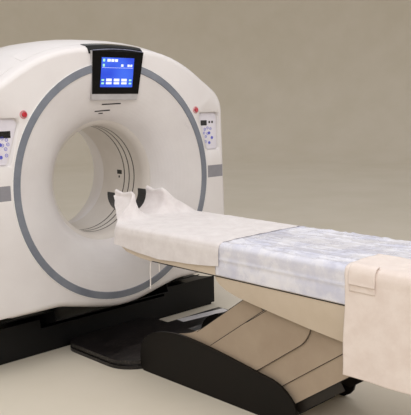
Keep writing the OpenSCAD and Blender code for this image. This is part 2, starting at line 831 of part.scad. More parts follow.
skirt_head = 878;
skirt_foot = 2048;
function skirt_shape() = concat(
    [[-1985, 0]],
    curve([-1990, 0], [-skirt_foot - 30, 40], [-skirt_foot, skirt_h - 175], 4),
    curve([-skirt_foot + 4, skirt_h - 168], [-1985, skirt_h - 92], [-1892, skirt_h - 76], 5),
    curve([-1800, skirt_h - 64], [-1400, skirt_h], [-1225, skirt_h], 8),
    curve([-1200, skirt_h - 0.5], [-skirt_head - 30, skirt_h - 20], [-skirt_head - 10, skirt_h - 165], 8),
    curve([-skirt_head - 6, skirt_h - 180], [-skirt_head + 4, 30], [-skirt_head - 30, 0], 5)
);
module skirt(side) {
    line = skirt_shape();
    inner = table_base_w - skirt_t;
    x0 = side > 0 ? inner : -table_base_w;
    pin_x = panel_x[outer_panel] - slide;
    color("#241d16") union() {
        across(x0, x0 + skirt_t, reversed(line));
        panel_pin(outer_panel, side > 0 ? pin_x : -inner - 1, side > 0 ? inner + 1 : -pin_x);
    }
}
module panel_pin(n, x0, x1) {
    translate([x0, -panel_pin_y[n], pivot_z]) rotate([0, 90, 0])
        cylinder(h = x1 - x0, r = panel_pin_r, $fn = 48);
}
module near_skirt() skirt(-1);
module far_skirt() skirt(1);

module base_nose() {
    inner = table_base_w - skirt_t - seat;
    outer = [[95, 0], [0, 0], [0, 60], [8, 120], [30, 160], [95, 190]];
    inside = [[95, 184], [34, 154], [14, 118], [6, 60], [6, 6], [95, 6]];
    color("#1d1916") across(-inner, inner, [for (p = concat(outer, inside)) [-nose_y - p[0], p[1]]]);
}

pan_w = 196;
pan_h = 40;
pan_head = 1040;
pan_foot = 1960;
leg_w = 108;
lug_t = 22;
link_in = leg_w + lug_t + 8;
link_t = 22;
link_lug_in = link_in + link_t + 3;
guide_y = leg_y - link_gap;
lug_r = 34;
module lug(x0, y, z, floor_z, gap = shaft_gap) {
    r = lug_r;
    difference() {
        union() {
            translate([x0, y, z]) rotate([0, 90, 0]) cylinder(h = lug_t, r = r, $fn = 64);
            box([x0, y - r, min(z, floor_z)], [x0 + lug_t, y + r, max(z, floor_z)]);
        }
        translate([x0 - 1, y, z]) rotate([0, 90, 0]) cylinder(h = lug_t + 2, r = shaft_r + gap, $fn = 64);
    }
}
rib_t = 10;
rib_h = 165;
module table_base() {
    color("#33383c") union() {
        box([-pan_w, -pan_foot, 0], [pan_w, -pan_head, pan_h]);
        for (side = [-1, 1]) {
            lug(side > 0 ? leg_w + 3 : -leg_w - 3 - lug_t, -leg_y, pivot_z, pan_h - 2);
            lug(side > 0 ? link_lug_in : -link_lug_in - lug_t, -guide_y, pivot_z, pan_h - 2);
            box([side > 0 ? pan_w - rib_t : -pan_w, -pan_foot, pan_h - 1],
                [side > 0 ? pan_w : -pan_w + rib_t, -1120, rib_h]);
            box([side > 0 ? pan_w - 1 : -table_base_w + skirt_t + seat, -1100, 0],
                [side > 0 ? table_base_w - skirt_t - seat : -pan_w + 1, -1050, pan_h]);
            for (n = [0, 2, 3, 4]) {
                tip = panel_x[n] + panel_t + slide;
                panel_pin(n, side > 0 ? pan_w - 1 : -tip, side > 0 ? tip : -pan_w + 1);
            }
        }
    }
}

// Lift linkage: the leg carries the body, and the guide link keeps it level

leg_top = [-leg_y - leg_len * cos(leg_angle), pivot_z + leg_len * sin(leg_angle)];
link_top = leg_top + [link_gap, 0];
leg_h = 78;
// A bar between two pivots in Y and Z
module bar(x0, x1, from, to, h) {
    across(x0, x1, bar_shape(from, to, h));
}
function bar_shape(from, to, h) = let(u = unit(to - from), n = left_of(u), a = atan2(u[1], u[0])) concat(
    [for (k = [0:12]) from + h / 2 * [cos(a + 90 + 15 * k), sin(a + 90 + 15 * k)]],
    [for (k = [0:12]) to + h / 2 * [cos(a - 90 + 15 * k), sin(a - 90 + 15 * k)]]
);
module shaft(x0, x1, at) {
    translate([x0, at[0], at[1]]) rotate([0, 90, 0]) cylinder(h = x1 - x0, r = shaft_r, $fn = 64);
}
module lift_leg() {
    low = [-leg_y, pivot_z];
    color("#c9ccd0") union() {
        bar(-leg_w, leg_w, low, leg_top, leg_h);
        shaft(-leg_w - 3 - lug_t, leg_w + 3 + lug_t, low);
        shaft(-leg_w - 3 - lug_t, leg_w + 3 + lug_t, leg_top);
    }
}
link_h = 44;
module guide_link() {
    low = [-guide_y, pivot_z];
    color("#c9ccd0") for (side = [-1, 1]) union() {
        x0 = side > 0 ? link_in : -link_in - link_t;
        pin0 = side > 0 ? x0 + 1 : x0 - 3 - lug_t;
        pin1 = side > 0 ? x0 + link_t + 3 + lug_t : x0 + link_t - 1;
        bar(x0, x0 + link_t, low, link_top, link_h);
        for (at = [low, link_top]) shaft(pin0, pin1, at);
    }
}

// Side panels: plates that swing parallel to the leg on pins of their own and slide over one another
panel_pin_y = [1180, 1435, 1660, 1835, 1920];
panel_low = [120, 130, 124, 126, 121];
panel_high = [64, 108, 60, 40, 30];
panel_reach = [760, 800, 770, 760, 390];
panel_start = 70;
panel_t = 3;
panel_x = [220, 225, 215, 210, 205];
panel_pin_r = 8;
panel_pin_gap = 0.1;
panel_eye = 22;
outer_panel = 1;
// A place on a panel: s along it from its pin, and t square to it
function on_panel(n, s, t) =
    [-panel_pin_y[n], pivot_z] + s * [-cos(leg_angle), sin(leg_angle)] + t * [sin(leg_angle), cos(leg_angle)];
function panel_line(n, points) = [for (p = points) on_panel(n, p[0], p[1])];
module side_panel(n, points) {
    for (side = [-1, 1]) {
        x0 = side > 0 ? panel_x[n] : -panel_x[n] - panel_t;
        difference() {
            across(x0, x0 + panel_t, panel_line(n, points));
            pin_hole(x0, n);
        }
    }
}
module pin_hole(x0, n) {
    translate([x0 - 1, -panel_pin_y[n], pivot_z]) rotate([0, 90, 0])
        cylinder(h = panel_t + 2, r = panel_pin_r + panel_pin_gap, $fn = 48);
}
// The end of a panel around its pin, up to where its full width starts
function panel_foot(n) = [
    [panel_start + 20, panel_high[n]], [panel_eye, panel_eye],
    [-panel_eye, panel_eye], [-panel_eye, -panel_eye], [panel_start, -panel_low[n]]
];
module side_panel_1() {
    high = panel_high[0];
    low = -panel_low[0];
    flare = curve([panel_start + 270, high], [panel_start + 150, high - 6], [panel_start + 40, high + 48], 6);
    foot = [[-panel_eye, panel_eye], [-panel_eye, -panel_eye], [panel_start, low]];
    color("#a59179") side_panel(0, concat(flare, foot, [[panel_reach[0], low], [panel_reach[0], high]]));
}
module side_panel_2() {
    low = -panel_low[1];
    tail = curve([650, low], [740, low + 2], [panel_reach[1], low + 60], 6);
    color("#ab977f") side_panel(1, concat(panel_foot(1), tail, [[panel_reach[1], panel_high[1]]]));
}
module plain_panel(n) {
    end = [[panel_reach[n], -panel_low[n]], [panel_reach[n], panel_high[n]]];
    side_panel(n, concat(panel_foot(n), end));
}
module side_panel_3() {
    color("#a59179") plain_panel(2);
}
module side_panel_4() {
    color("#9f8b73") plain_panel(3);
}
module side_panel_5() {
    color("#17120e") plain_panel(4);
}

// Tabletop

deck_low = 745;
deck_t = 14;
beam_in = 262;
beam_wall = 4;
lip_in = beam_in - 34;
module beam(side) {
    corners = [
        [beam_in, body_low], [body_w, body_low], [body_w, body_top], [lip_in, body_top],
        [lip_in, deck_low], [beam_in, deck_low]
    ];
    outer = rounded(corners, [6, 6, 22, 6, 3, 3], 4);
    inner = rounded(inset(corners, beam_wall), [2, 2, 18, 2, 1, 1], 4);
    mirror([side > 0 ? 0 : 1, 0, 0]) translate([0, -body_head, 0]) rotate([90, 0, 0]) difference() {
        linear_extrude(body_foot - body_head) polygon(outer);
        translate([0, 0, beam_wall]) linear_extrude(body_foot - body_head - 2 * beam_wall) polygon(inner);
    }
}
module table_body() {
    color("#ded9d2") difference() {
        union() {
            beam(-1);
            beam(1);
            box([-beam_in + 30, -body_foot, deck_low], [beam_in - 30, -body_head - 20, deck_low + deck_t]);
            for (side = [-1, 1]) {
                lug(side > 0 ? leg_w + 3 : -leg_w - 3 - lug_t, leg_top[0], leg_top[1], deck_low + 1);
                link_side = side > 0 ? link_lug_in : -link_lug_in - lug_t;
                lug(link_side, link_top[0], link_top[1], deck_low + 1, open_gap);
            }
        }
        across(-body_w - 5, body_w + 5, [
            [-1110, body_low - 5], [-1110, body_low], [-1010, body_low + 5], [-880, body_low + 26],
            [-body_head + 5, body_low + 72], [-body_head + 5, body_low - 5]
        ]);
    }
}

// The hull closes the underside around the linkage and comes down over the base
hull_head = 1590;
hull_edge = [
    [-1590, 668], [-1606, 645], [-1640, 622], [-1700, 600], [-1800, 579], [-1960, 552], [-2150, 526],
    [-2400, 500], [-2700, 486], [-3170, 482]
];
hull_low_w = 264;
hull_t = 4;
// One side of the hull's outer line at a height z of its bottom edge
function hull_line(z, d) = let(deep = body_low - z, k = deep / 200, top_x = body_w - 4 - d) [
    [top_x, body_low - seat], [top_x - 3 - 16 * min(1, k), body_low - deep * 0.42],
    [top_x - (body_w - 4 - hull_low_w) * min(1, k * 1.4), z]
];
function hull_ring(side, y, z) = let(p = concat(hull_line(z, 0), reversed(hull_line(z, hull_t))))
    [for (q = side > 0 ? reversed(p) : p) [side * q[0], y, q[1]]];
// A wall that closes the hull between its two sides
module hull_wall(y, z) {
    a = hull_line(z, 1);
    translate([0, -y, 0]) rotate([90, 0, 0]) linear_extrude(6)
        polygon([a[0], a[1], a[2], [-a[2][0], a[2][1]], [-a[1][0], a[1][1]], [-a[0][0], a[0][1]]]);
}
module hull_cover() {
    color("#d8cfc2") union() {
        for (side = [-1, 1]) skin([for (e = reversed(hull_edge)) hull_ring(side, e[0], e[1])]);
        hull_wall(hull_head + 2, 669);
        hull_wall(3163, 483);
    }
}

cradle_bottom = 790;
cradle_edge = 18;
function cradle_shape() = let(flat = cradle_top - cradle_edge - 2) concat(
    [for (k = [11:-1:1]) [cradle_w * 0.98 * cos(15 * k), flat - (flat - cradle_bottom) * sin(15 * k)]],
    [[cradle_w, cradle_top - cradle_edge], [cradle_w, cradle_top], [-cradle_w, cradle_top],
        [-cradle_w, cradle_top - cradle_edge]]
);
rail_x = 110;
rail_w = 32;
module cradle() {
    foot = cradle_head + cradle_len;
    color("#3b3f44") union() {
        translate([0, -cradle_head, 0]) rotate([90, 0, 0]) linear_extrude(cradle_len) polygon(cradle_shape());
        for (side = [-1, 1])
            box([side * rail_x - rail_w / 2, -foot + 10, deck_low + deck_t + slide],
                [side * rail_x + rail_w / 2, -foot + cradle_len * 0.38, cradle_bottom + 14]);
    }
}

pad_head = cradle_head + 90;
module cradle_pad() {
    w = cradle_w - 6;
    z = cradle_top + seat;
    color("#6c7078") translate([0, -pad_head, 0]) rotate([90, 0, 0])
        linear_extrude(cradle_len - (pad_head - cradle_head) - 10)
            polygon(rounded([[-w, z], [w, z], [w, z + pad_t], [-w, z + pad_t]], [4, 4, 8, 8], 3));
}

holder_t = 7;
holder_angle = 98;
holder_foot_h = 12;
holder_z = cradle_top + 3 + holder_foot_h + holder_t + holder_r;
holder_end = cradle_head - holder_len;
arm_w = 62;
function trough(r, a0, a1, steps) = [
    for (k = [0:steps]) let(a = a0 + (a1 - a0) * k / steps) [r * sin(a), holder_z - r * cos(a)]
];
module head_holder() {
    color("#2b2d31") union() {
        translate([0, -holder_end, 0]) rotate([90, 0, 0]) linear_extrude(holder_len - 6) polygon(concat(
            trough(holder_r + holder_t, -holder_angle, holder_angle, 24),
            trough(holder_r, holder_angle, -holder_angle, 24)
        ));
        foot = -cradle_head + 40;
        box([-arm_w, -pad_head + 4, cradle_top + seat], [arm_w, foot, cradle_top + holder_foot_h]);
        box([-arm_w, -cradle_head + 8, cradle_top + seat], [arm_w, foot, holder_z - holder_r - 2]);
    }
}

// Cloths: closed solids of the covers laid over the table

// A cloth's outer line across the table from its left hem to its right one, with its place over the pad
function laid_line(w, low, lift) = let(z = cradle_top + seat + pad_t + lift) [
    [-w, low], [-w, body_top + lift], [-cradle_w, z], [cradle_w, z], [w, body_top + lift], [w, low]
];
// An open line moved by d to its left
function beside(p, d) = let(n = len(p) - 1, side = [for (i = [1:n]) left_of(unit(p[i] - p[i - 1]))]) [
    for (i = [0:n]) let(a = side[max(i - 1, 0)], b = side[min(i, n - 1)]) p[i] + d * (a + b) / (1 + a * b)
];
function cloth_shape(line) = let(n = len(line) - 1)
    concat([line[n]], reversed(beside(line, sheet_t)), [for (i = [0:n - 1]) line[i]]);
module cloth(y0, y1, line) {
    translate([0, -y0, 0]) rotate([90, 0, 0]) linear_extrude(y1 - y0) polygon(cloth_shape(line));
}

head_sheet_end = 1630;
module table_cover() {
    color("#e8e2e4") cloth(head_sheet_end + 1, body_foot + 2, laid_line(body_w + seat, body_low + 8, slide));
}

// The towel lies on the pad and rises at its head end over the rim of the head holder, whose trough it lines
towel_space = 3.5;
rim_rise = 22;
rim_round = 5;
hood_from = 540;
hood_hem = [-245, 855];
function hood_half() = let(r = holder_r - towel_space, rim_x = holder_r + holder_t + towel_space,
    top = holder_z + rim_rise) concat(
    [hood_hem, [-rim_x, top - 3 * rim_round], [rim_round - rim_x, top], [3 * rim_round - rim_x, top]],
    [for (a = [84, 62, 42, 24]) [-r * sin(a), holder_z - r * cos(a)]]
);
module head_sheet() {
    half = hood_half();
    color("#ece6e8") union() {
        cloth(body_head - 4, head_sheet_end, laid_line(body_w + 2, body_low + 50, seat));
        cloth(hood_from, body_head - 2, concat(half, [for (q = reversed(half)) [-q[0], q[1]]]));
    }
}

// The sheet at the foot end lies on the top and hangs down at one side
foot_sheet_from = 2385;
foot_sheet_to = 3120;
foot_sheet_low = 392;
foot_sheet_in = 70;
module foot_sheet() {
    line = laid_line(body_w + sheet_t + 2 * seat, foot_sheet_low, slide + sheet_t + seat);
    top = [-foot_sheet_in, line[2][1]];
    color("#e6dcd6") cloth(foot_sheet_from, foot_sheet_to, [line[0], line[1], line[2], top]);
}

gantry_base();
left_column();
right_column();
floor_plate();
tilt_frame();
front_cover();
ring_trim();
funnel_cover();
bore_liner();
top_cover();
left_side_cover();
right_side_cover();
rear_cover();
rear_funnel();
belly_cover();
display_housing();
display_screen();
display_cap();
left_panel();
right_panel();
side_stripes();
bearing_outer_race();
drive_motor();
drive_belt();
rotor_disc();
bearing_inner_race();
xray_tube();
collimator();
detector_arc();
generator();
heat_exchanger();
slip_ring();
motor_pulley();
left_stop_button();
right_stop_button();
left_key_1();
left_key_2();
left_key_3();
right_key_1();
right_key_2();
right_key_3();
table_base();
near_skirt();
far_skirt();
base_nose();
lift_leg();
guide_link();
side_panel_1();
side_panel_2();
side_panel_3();
side_panel_4();
side_panel_5();
table_body();
hull_cover();
table_cover();
foot_sheet();
cradle();
cradle_pad();
head_holder();
head_sheet();
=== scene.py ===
import math

import bpy
import numpy as np
from mathutils import Matrix, Vector, noise


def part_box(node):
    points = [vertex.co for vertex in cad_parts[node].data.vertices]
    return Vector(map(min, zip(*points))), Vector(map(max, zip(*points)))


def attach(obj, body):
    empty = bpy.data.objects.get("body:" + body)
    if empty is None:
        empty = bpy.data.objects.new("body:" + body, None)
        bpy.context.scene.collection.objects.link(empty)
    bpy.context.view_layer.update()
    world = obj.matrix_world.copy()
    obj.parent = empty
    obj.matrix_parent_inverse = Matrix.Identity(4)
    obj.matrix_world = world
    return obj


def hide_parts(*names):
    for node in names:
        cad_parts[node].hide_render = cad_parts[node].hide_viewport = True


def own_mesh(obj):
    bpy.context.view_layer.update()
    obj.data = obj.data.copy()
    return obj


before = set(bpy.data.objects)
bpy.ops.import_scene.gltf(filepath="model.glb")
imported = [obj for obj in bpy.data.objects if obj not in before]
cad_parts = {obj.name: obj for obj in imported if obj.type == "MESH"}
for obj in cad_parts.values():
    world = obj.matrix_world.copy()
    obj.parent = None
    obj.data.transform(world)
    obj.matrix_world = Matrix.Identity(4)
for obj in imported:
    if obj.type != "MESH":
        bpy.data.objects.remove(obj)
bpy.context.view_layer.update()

# Camera
# It stands before the gantry's left side, a little above the table, and looks along
# the table towards the bore. Its shift gives the photograph's framing.
CAMERA_PLACE = (-2.7786, -4.1280, 1.5730)
VIEW_YAW, VIEW_PITCH, VIEW_ROLL = 0.80873, 0.172135, -0.009395
camera = bpy.data.objects.new("camera", bpy.data.cameras.new("camera"))
bpy.context.scene.collection.objects.link(camera)
bpy.context.scene.camera = camera
camera.data.sensor_width = 36.0
camera.data.lens = 63.29
camera.data.shift_x = -0.0875
camera.data.shift_y = 0.0371
camera.data.clip_end = 60.0
camera.matrix_world = (
    Matrix.Translation(CAMERA_PLACE)
    @ Matrix.Rotation(-VIEW_YAW, 4, "Z")
    @ Matrix.Rotation(math.pi / 2 - VIEW_PITCH, 4, "X")
    @ Matrix.Rotation(VIEW_ROLL, 4, "Z")
)

# Light
# A wide ceiling light, a key light from the left of the camera and a weak fill from
# the right, all with soft edges, in an even pale surround.
bpy.context.scene.view_settings.view_transform = "Standard"


def rgb(code):
    """The linear colour of a hex sRGB code."""
    parts = [int(code[i : i + 2], 16) / 255 for i in (0, 2, 4)]
    return [c / 12.92 if c < 0.04045 else ((c + 0.055) / 1.055) ** 2.4 for c in parts] + [1.0]


for name, place, aim, size, watts, tint in (
    ("ceiling", (-0.4, -2.0, 3.9), (-0.1, -1.5, 0.0), 4.2, 58.0, "fffcfa"),
    ("key", (-3.9, -4.3, 3.1), (0.0, -0.9, 0.8), 2.6, 76.0, "fffdfb"),
    ("fill", (3.6, -3.4, 2.2), (0.2, -0.6, 0.9), 2.4, 12.0, "f4f6ff"),
):
    lamp = bpy.data.objects.new(name, bpy.data.lights.new(name, "AREA"))
    bpy.context.scene.collection.objects.link(lamp)
    lamp.data.size = size
    lamp.data.energy = watts
    lamp.data.color = rgb(tint)[:3]
    lamp.location = place
    lamp.rotation_euler = (Vector(aim) - Vector(place)).to_track_quat("-Z", "Y").to_euler()
world = bpy.data.worlds.new("surround")
bpy.context.scene.world = world
world.use_nodes = True
world.node_tree.nodes["Background"].inputs["Color"].default_value = rgb("f4f2f2")
world.node_tree.nodes["Background"].inputs["Strength"].default_value = 0.7

# Floor and backdrop
# A round studio: a plain floor that turns up into a low wall through a wide cove, all in
# a warm pale matt grey that shows soft shadows and no reflections.
STUDIO_R, STUDIO_H, COVE_R = 16.0, 8.0, 3.5
FLOOR_Z = -0.0006


def add_node(tree, kind, sockets=None, **settings):
    """Adds a shader node. A socket's value is a number, a colour or the output that feeds it."""
    node = tree.nodes.new(kind)
    for name, value in settings.items():
        setattr(node, name, value)
    for key, value in (sockets or {}).items():
        if isinstance(value, bpy.types.NodeSocket):
            tree.links.new(value, node.inputs[key])
        else:
            node.inputs[key].default_value = value
    return node


def finish(name, tones, patch_mm, rough, grain_mm, depth_mm, **shader_values):
    """A material whose colour drifts between two tones, with a fine grain in its surface."""
    mat = bpy.data.materials.new(name)
    mat.use_nodes = True
    tree = mat.node_tree
    shader = tree.nodes["Principled BSDF"]
    for key, value in shader_values.items():
        shader.inputs[key.replace("_", " ")].default_value = value
    place = add_node(tree, "ShaderNodeTexCoord").outputs["Object"]
    patches = add_node(
        tree, "ShaderNodeTexNoise",
        {"Vector": place, "Scale": 1000 / patch_mm, "Detail": 5.0, "Roughness": 0.6},
    )
    ramp = add_node(tree, "ShaderNodeValToRGB", {"Fac": patches.outputs["Fac"]})
    for element, position, tone in zip(ramp.color_ramp.elements, (0.36, 0.64), tones):
        element.position = position
        element.color = rgb(tone)
    tree.links.new(ramp.outputs["Color"], shader.inputs["Base Color"])
    grain = add_node(
        tree, "ShaderNodeTexNoise",
        {"Vector": place, "Scale": 1000 / grain_mm, "Detail": 3.0, "Roughness": 0.55},
    )
    gloss_range = {"From Min": 0.3, "From Max": 0.7, "To Min": rough - 0.05, "To Max": rough + 0.05}
    gloss = add_node(tree, "ShaderNodeMapRange", {"Value": patches.outputs["Fac"], **gloss_range})
    tree.links.new(gloss.outputs["Result"], shader.inputs["Roughness"])
    bump = add_node(
        tree, "ShaderNodeBump", {"Height": grain.outputs["Fac"], "Strength": 0.6, "Distance": depth_mm / 1000}
    )
    tree.links.new(bump.outputs["Normal"], shader.inputs["Normal"])
    return mat


def select_only(*pieces):
    """Makes these the selected objects, and the first one the active one."""
    bpy.ops.object.select_all(action="DESELECT")
    for piece in pieces:
        piece.select_set(True)
    bpy.context.view_layer.objects.active = pieces[0]


def pick(piece, kind, test):
    """Goes into edit mode with only those parts selected whose middle and normal pass a test."""
    select_only(piece)
    mesh = piece.data
    for items in (mesh.vertices, mesh.edges, mesh.polygons):
        items.foreach_set("select", [False] * len(items))
    bpy.context.tool_settings.mesh_select_mode = [kind == k for k in ("VERT", "EDGE", "FACE")]
    if kind == "VERT":
        for vertex in mesh.vertices:
            vertex.select = test(piece.matrix_world @ vertex.co, vertex.normal)
    elif kind == "EDGE":
        for edge in mesh.edges:
            ends = [mesh.vertices[v] for v in edge.vertices]
            edge.select = test(piece.matrix_world @ ((ends[0].co + ends[1].co) / 2), ends[1].co - ends[0].co)
    else:
        for face in mesh.polygons:
            face.select = test(piece.matrix_world @ face.center, face.normal)
    bpy.ops.object.mode_set(mode="EDIT")


bpy.ops.object.select_all(action="DESELECT")
bpy.ops.mesh.primitive_cylinder_add(
    vertices=128, radius=STUDIO_R, depth=STUDIO_H, location=(0, 0, STUDIO_H / 2 + FLOOR_Z)
)
backdrop = bpy.context.object
pick(backdrop, "FACE", lambda middle, normal: normal.z > 0.9)
bpy.ops.mesh.delete(type="FACE")
bpy.ops.object.mode_set(mode="OBJECT")
pick(backdrop, "EDGE", lambda middle, along: middle.z < 0.001)
bpy.ops.mesh.bevel(offset=COVE_R, segments=10, affect="EDGES")
bpy.ops.mesh.select_all(action="SELECT")
bpy.ops.mesh.flip_normals()
bpy.ops.object.mode_set(mode="OBJECT")
bpy.ops.object.transform_apply(location=True, rotation=True, scale=True)
backdrop.name = "backdrop"
backdrop.data.materials.append(finish("pale_matt", ("d8cfbd", "ddd4c4"), 900, 0.8, 9, 0.05))
backdrop.data.shade_smooth()

# White covers
# Large mouldings of glass-reinforced polyurethane, painted on the outside. They hang on
# the tilting frame, with narrow seams between them.


def paint(mat, *names):
    """Gives CAD nodes a material."""
    for name in names:
        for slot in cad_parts[name].material_slots:
            slot.material = mat


def apply_modifiers(piece):
    """Applies a piece's modifiers in their order."""
    select_only(piece)
    for modifier in list(piece.modifiers):
        bpy.ops.object.modifier_apply(modifier=modifier.name)


def settle(name, pieces, mat, body):
    """Joins pieces into one object at the origin, with its material, slot and body."""
    select_only(*pieces)
    if len(pieces) > 1:
        bpy.ops.object.join()
    piece = bpy.context.view_layer.objects.active
    bpy.ops.object.transform_apply(location=True, rotation=True, scale=True)
    piece.name = name
    piece.data.materials.clear()
    piece.data.materials.append(mat)
    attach(piece, body)
    return piece


def smooth_copy(node, name, mat, body):
    """A merged copy of a CAD node, whose round faces shade as one and whose flat ones stay flat."""
    piece = bpy.data.objects.new(name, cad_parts[node].data.copy())
    bpy.context.scene.collection.objects.link(piece)
    piece.matrix_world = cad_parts[node].matrix_world
    pick(piece, "VERT", lambda spot, normal: True)
    bpy.ops.mesh.remove_doubles(threshold=0.00005)
    bpy.ops.object.mode_set(mode="OBJECT")
    bpy.ops.object.shade_smooth_by_angle(angle=math.radians(38))
    weights = piece.modifiers.new("weights", "WEIGHTED_NORMAL")
    weights.keep_sharp = True
    weights.weight = 80
    apply_modifiers(piece)
    piece = settle(name, [piece], mat, body)
    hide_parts(node)
    return piece


# The paint is a warm white satin: broad soft highlights under a thin clear coat, and a
# faint orange peel of about 2 mm.
cover_paint = finish(
    "painted_polyurethane", ("e8e3e3", "eeeaea"), 420, 0.36, 2.2, 0.035, Coat_Weight=0.25, Coat_Roughness=0.2
)
for cover_node in ("front_cover", "top_cover", "left_side_cover", "right_side_cover", "rear_cover"):
    smooth_copy(cover_node, f"{cover_node}_moulding", cover_paint, "tilting_gantry")

# Trim ring
# A wide ring of moulded plastic round the mouth of the funnel, clipped on over the joint
# between the dish and the front cover.
# Its paint is a satin blue-grey, with a soft line of light along the rounded edge.
paint(
    finish(
        "grey_painted_ring", ("777c88", "868b96"), 160, 0.38, 1.6, 0.03, Coat_Weight=0.2, Coat_Roughness=0.25
    ),
    "ring_trim",
)

# Funnels
# Vacuum-formed dishes at the front and the rear, screwed on from behind.
# The formed sheet is off-white, smooth and a little glossier than the painted covers.
paint(
    finish(
        "formed_funnel", ("e2dddd", "e9e5e5"), 350, 0.32, 3.0, 0.02, Coat_Weight=0.3, Coat_Roughness=0.15
    ),
    "funnel_cover", "rear_funnel",
)

# Bore liner
# A thin rolled tube of plastic that X-rays pass through, held between the two funnels.
# The sheet is a warm off-white with a plain, even gloss.
paint(finish("rolled_liner", ("d6cfc8", "ddd7d1"), 240, 0.34, 2.6, 0.02), "bore_liner")

# Bands in the bore
# Three narrow bands lie on the liner: the two seams of its window and a sealing strip.
# Each is a closed strip of foil, glued on. The foil is dark brown and matt.
ISO_Z = 1.045
BORE_R = 0.350
BAND_W, BAND_T, BAND_GAP = 0.008, 0.0008, 0.0004
band_mat = finish("dark_foil", ("2b2624", "38322f"), 30, 0.55, 1.2, 0.02)
rings = []
for band_y in (-0.008, -0.062, -0.116):
    bpy.ops.object.select_all(action="DESELECT")
    bpy.ops.mesh.primitive_cylinder_add(
        vertices=128, radius=BORE_R - BAND_GAP, depth=BAND_W, end_fill_type="NOTHING",
        location=(0, band_y, ISO_Z), rotation=(math.pi / 2, 0, 0),
    )
    rings.append(bpy.context.object)
    thick = rings[-1].modifiers.new("thick", "SOLIDIFY")
    thick.thickness = BAND_T
    thick.offset = -1.0
    apply_modifiers(rings[-1])
bands = settle("bore_bands", rings, band_mat, "tilting_gantry")
bands.data.shade_smooth()

# Inserts in the liner
# A small slot and a dot at the right of the bore, where the intercom sits behind the
# liner: moulded inserts with rounded edges, pressed in flush.
# Their plastic is black with a tight highlight.
INSERT_T, INSERT_EDGE, INSERT_PROUD = 0.003, 0.0014, 0.0005
insert_mat = finish("black_insert", ("141315", "1d1c1e"), 12, 0.3, 0.8, 0.01)


def block(place, size, edge, turn=(0, 0, 0), segments=3):
    """A box with rounded edges, shaped from a cube."""
    bpy.ops.object.select_all(action="DESELECT")
    bpy.ops.mesh.primitive_cube_add(size=1, location=place, rotation=turn, scale=size)
    piece = bpy.context.object
    bpy.ops.object.transform_apply(location=False, rotation=False, scale=True)
    bevel = piece.modifiers.new("edge", "BEVEL")
    bevel.width = edge
    bevel.segments = segments
    apply_modifiers(piece)
    return piece


inserts = []
for degrees, at_y, w, h in ((1.3, 0.049, 0.054, 0.030), (-4.1, 0.053, 0.016, 0.016)):
    turn = math.radians(degrees)
    place = (math.cos(turn) * (BORE_R + INSERT_PROUD), at_y, ISO_Z + math.sin(turn) * BORE_R)
    inserts.append(block(place, (INSERT_T, w, h), INSERT_EDGE, (0, -turn, 0)))
settle("liner_inserts", inserts, insert_mat, "tilting_gantry")

# Highlight bead round the trim ring
# A round white bead at the outside of the trim ring, set a little into the joint. Its pale
# glossy colour is a painted highlight: the line of light along the ring's outer edge.
TRIM_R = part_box("ring_trim")[1][0]
HIGHLIGHT_R, HIGHLIGHT_OUT, HIGHLIGHT_DEEP = 0.0024, 0.0015, 0.0035
bpy.ops.object.select_all(action="DESELECT")
bpy.ops.mesh.primitive_torus_add(
    major_segments=160, minor_segments=10, major_radius=TRIM_R + HIGHLIGHT_OUT, minor_radius=HIGHLIGHT_R,
    location=(0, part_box("ring_trim")[0][1] + HIGHLIGHT_DEEP, ISO_Z), rotation=(math.pi / 2, 0, 0),
)
highlight_ring = settle(
    "trim_highlight_bead", [bpy.context.object], finish("painted_highlight_cord", ("f0eeee", "f7f6f6"), 60, 0.3, 0.9, 0.01),
    "tilting_gantry",
)
highlight_ring.data.shade_smooth()

# Display
# A flat display that leans down over the bore, on the front of a pale grey moulded shell
# that is wedge-shaped from the side and screwed to the front cover.
# The shell's plastic is satin, with a very fine grain.
HOUSING_LOW, HOUSING_HIGH = (Vector(corner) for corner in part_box("display_housing"))
LIP_TOP = ISO_Z + 0.548
LEAN = math.radians(10.3)
FOOT_HALF, TOP_HALF = 0.171, 0.192
SHELL_EDGE = 0.005


def lean_back(piece):
    """Turns an upright piece about the display's top front edge, so that its foot is deeper."""
    hinge = Matrix.Translation((0, HOUSING_LOW.y, HOUSING_HIGH.z))
    stretch = Matrix.Diagonal((1, 1, 1 / math.cos(LEAN), 1))
    turned = hinge @ Matrix.Rotation(LEAN, 4, "X") @ stretch @ hinge.inverted()
    piece.matrix_world = turned @ piece.matrix_world


bpy.ops.object.select_all(action="DESELECT")
bpy.ops.mesh.primitive_cube_add(
    size=1, location=(HOUSING_LOW + HOUSING_HIGH) / 2, scale=HOUSING_HIGH - HOUSING_LOW
)
shell = bpy.context.object
bpy.ops.object.transform_apply(location=True, rotation=True, scale=True)
pick(shell, "VERT", lambda spot, normal: spot.z < HOUSING_LOW.z + 0.001)
bpy.ops.transform.resize(value=(FOOT_HALF / TOP_HALF, 1, 1), center_override=(0, 0, 0))
bpy.ops.object.mode_set(mode="OBJECT")
pick(shell, "VERT", lambda spot, normal: spot.z < HOUSING_LOW.z + 0.001 and spot.y < HOUSING_LOW.y + 0.001)
bpy.ops.transform.translate(value=(0, (HOUSING_HIGH.z - HOUSING_LOW.z) * math.tan(LEAN), 0))
bpy.ops.object.mode_set(mode="OBJECT")
shell_edge = shell.modifiers.new("edge", "BEVEL")
shell_edge.width = SHELL_EDGE
shell_edge.segments = 4
apply_modifiers(shell)
grey_shell = finish("grey_shell", ("b3b0b1", "bfbdbe"), 70, 0.33, 1.5, 0.02)
shell = settle("display_shell", [shell], grey_shell, "tilting_gantry")
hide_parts("display_housing")

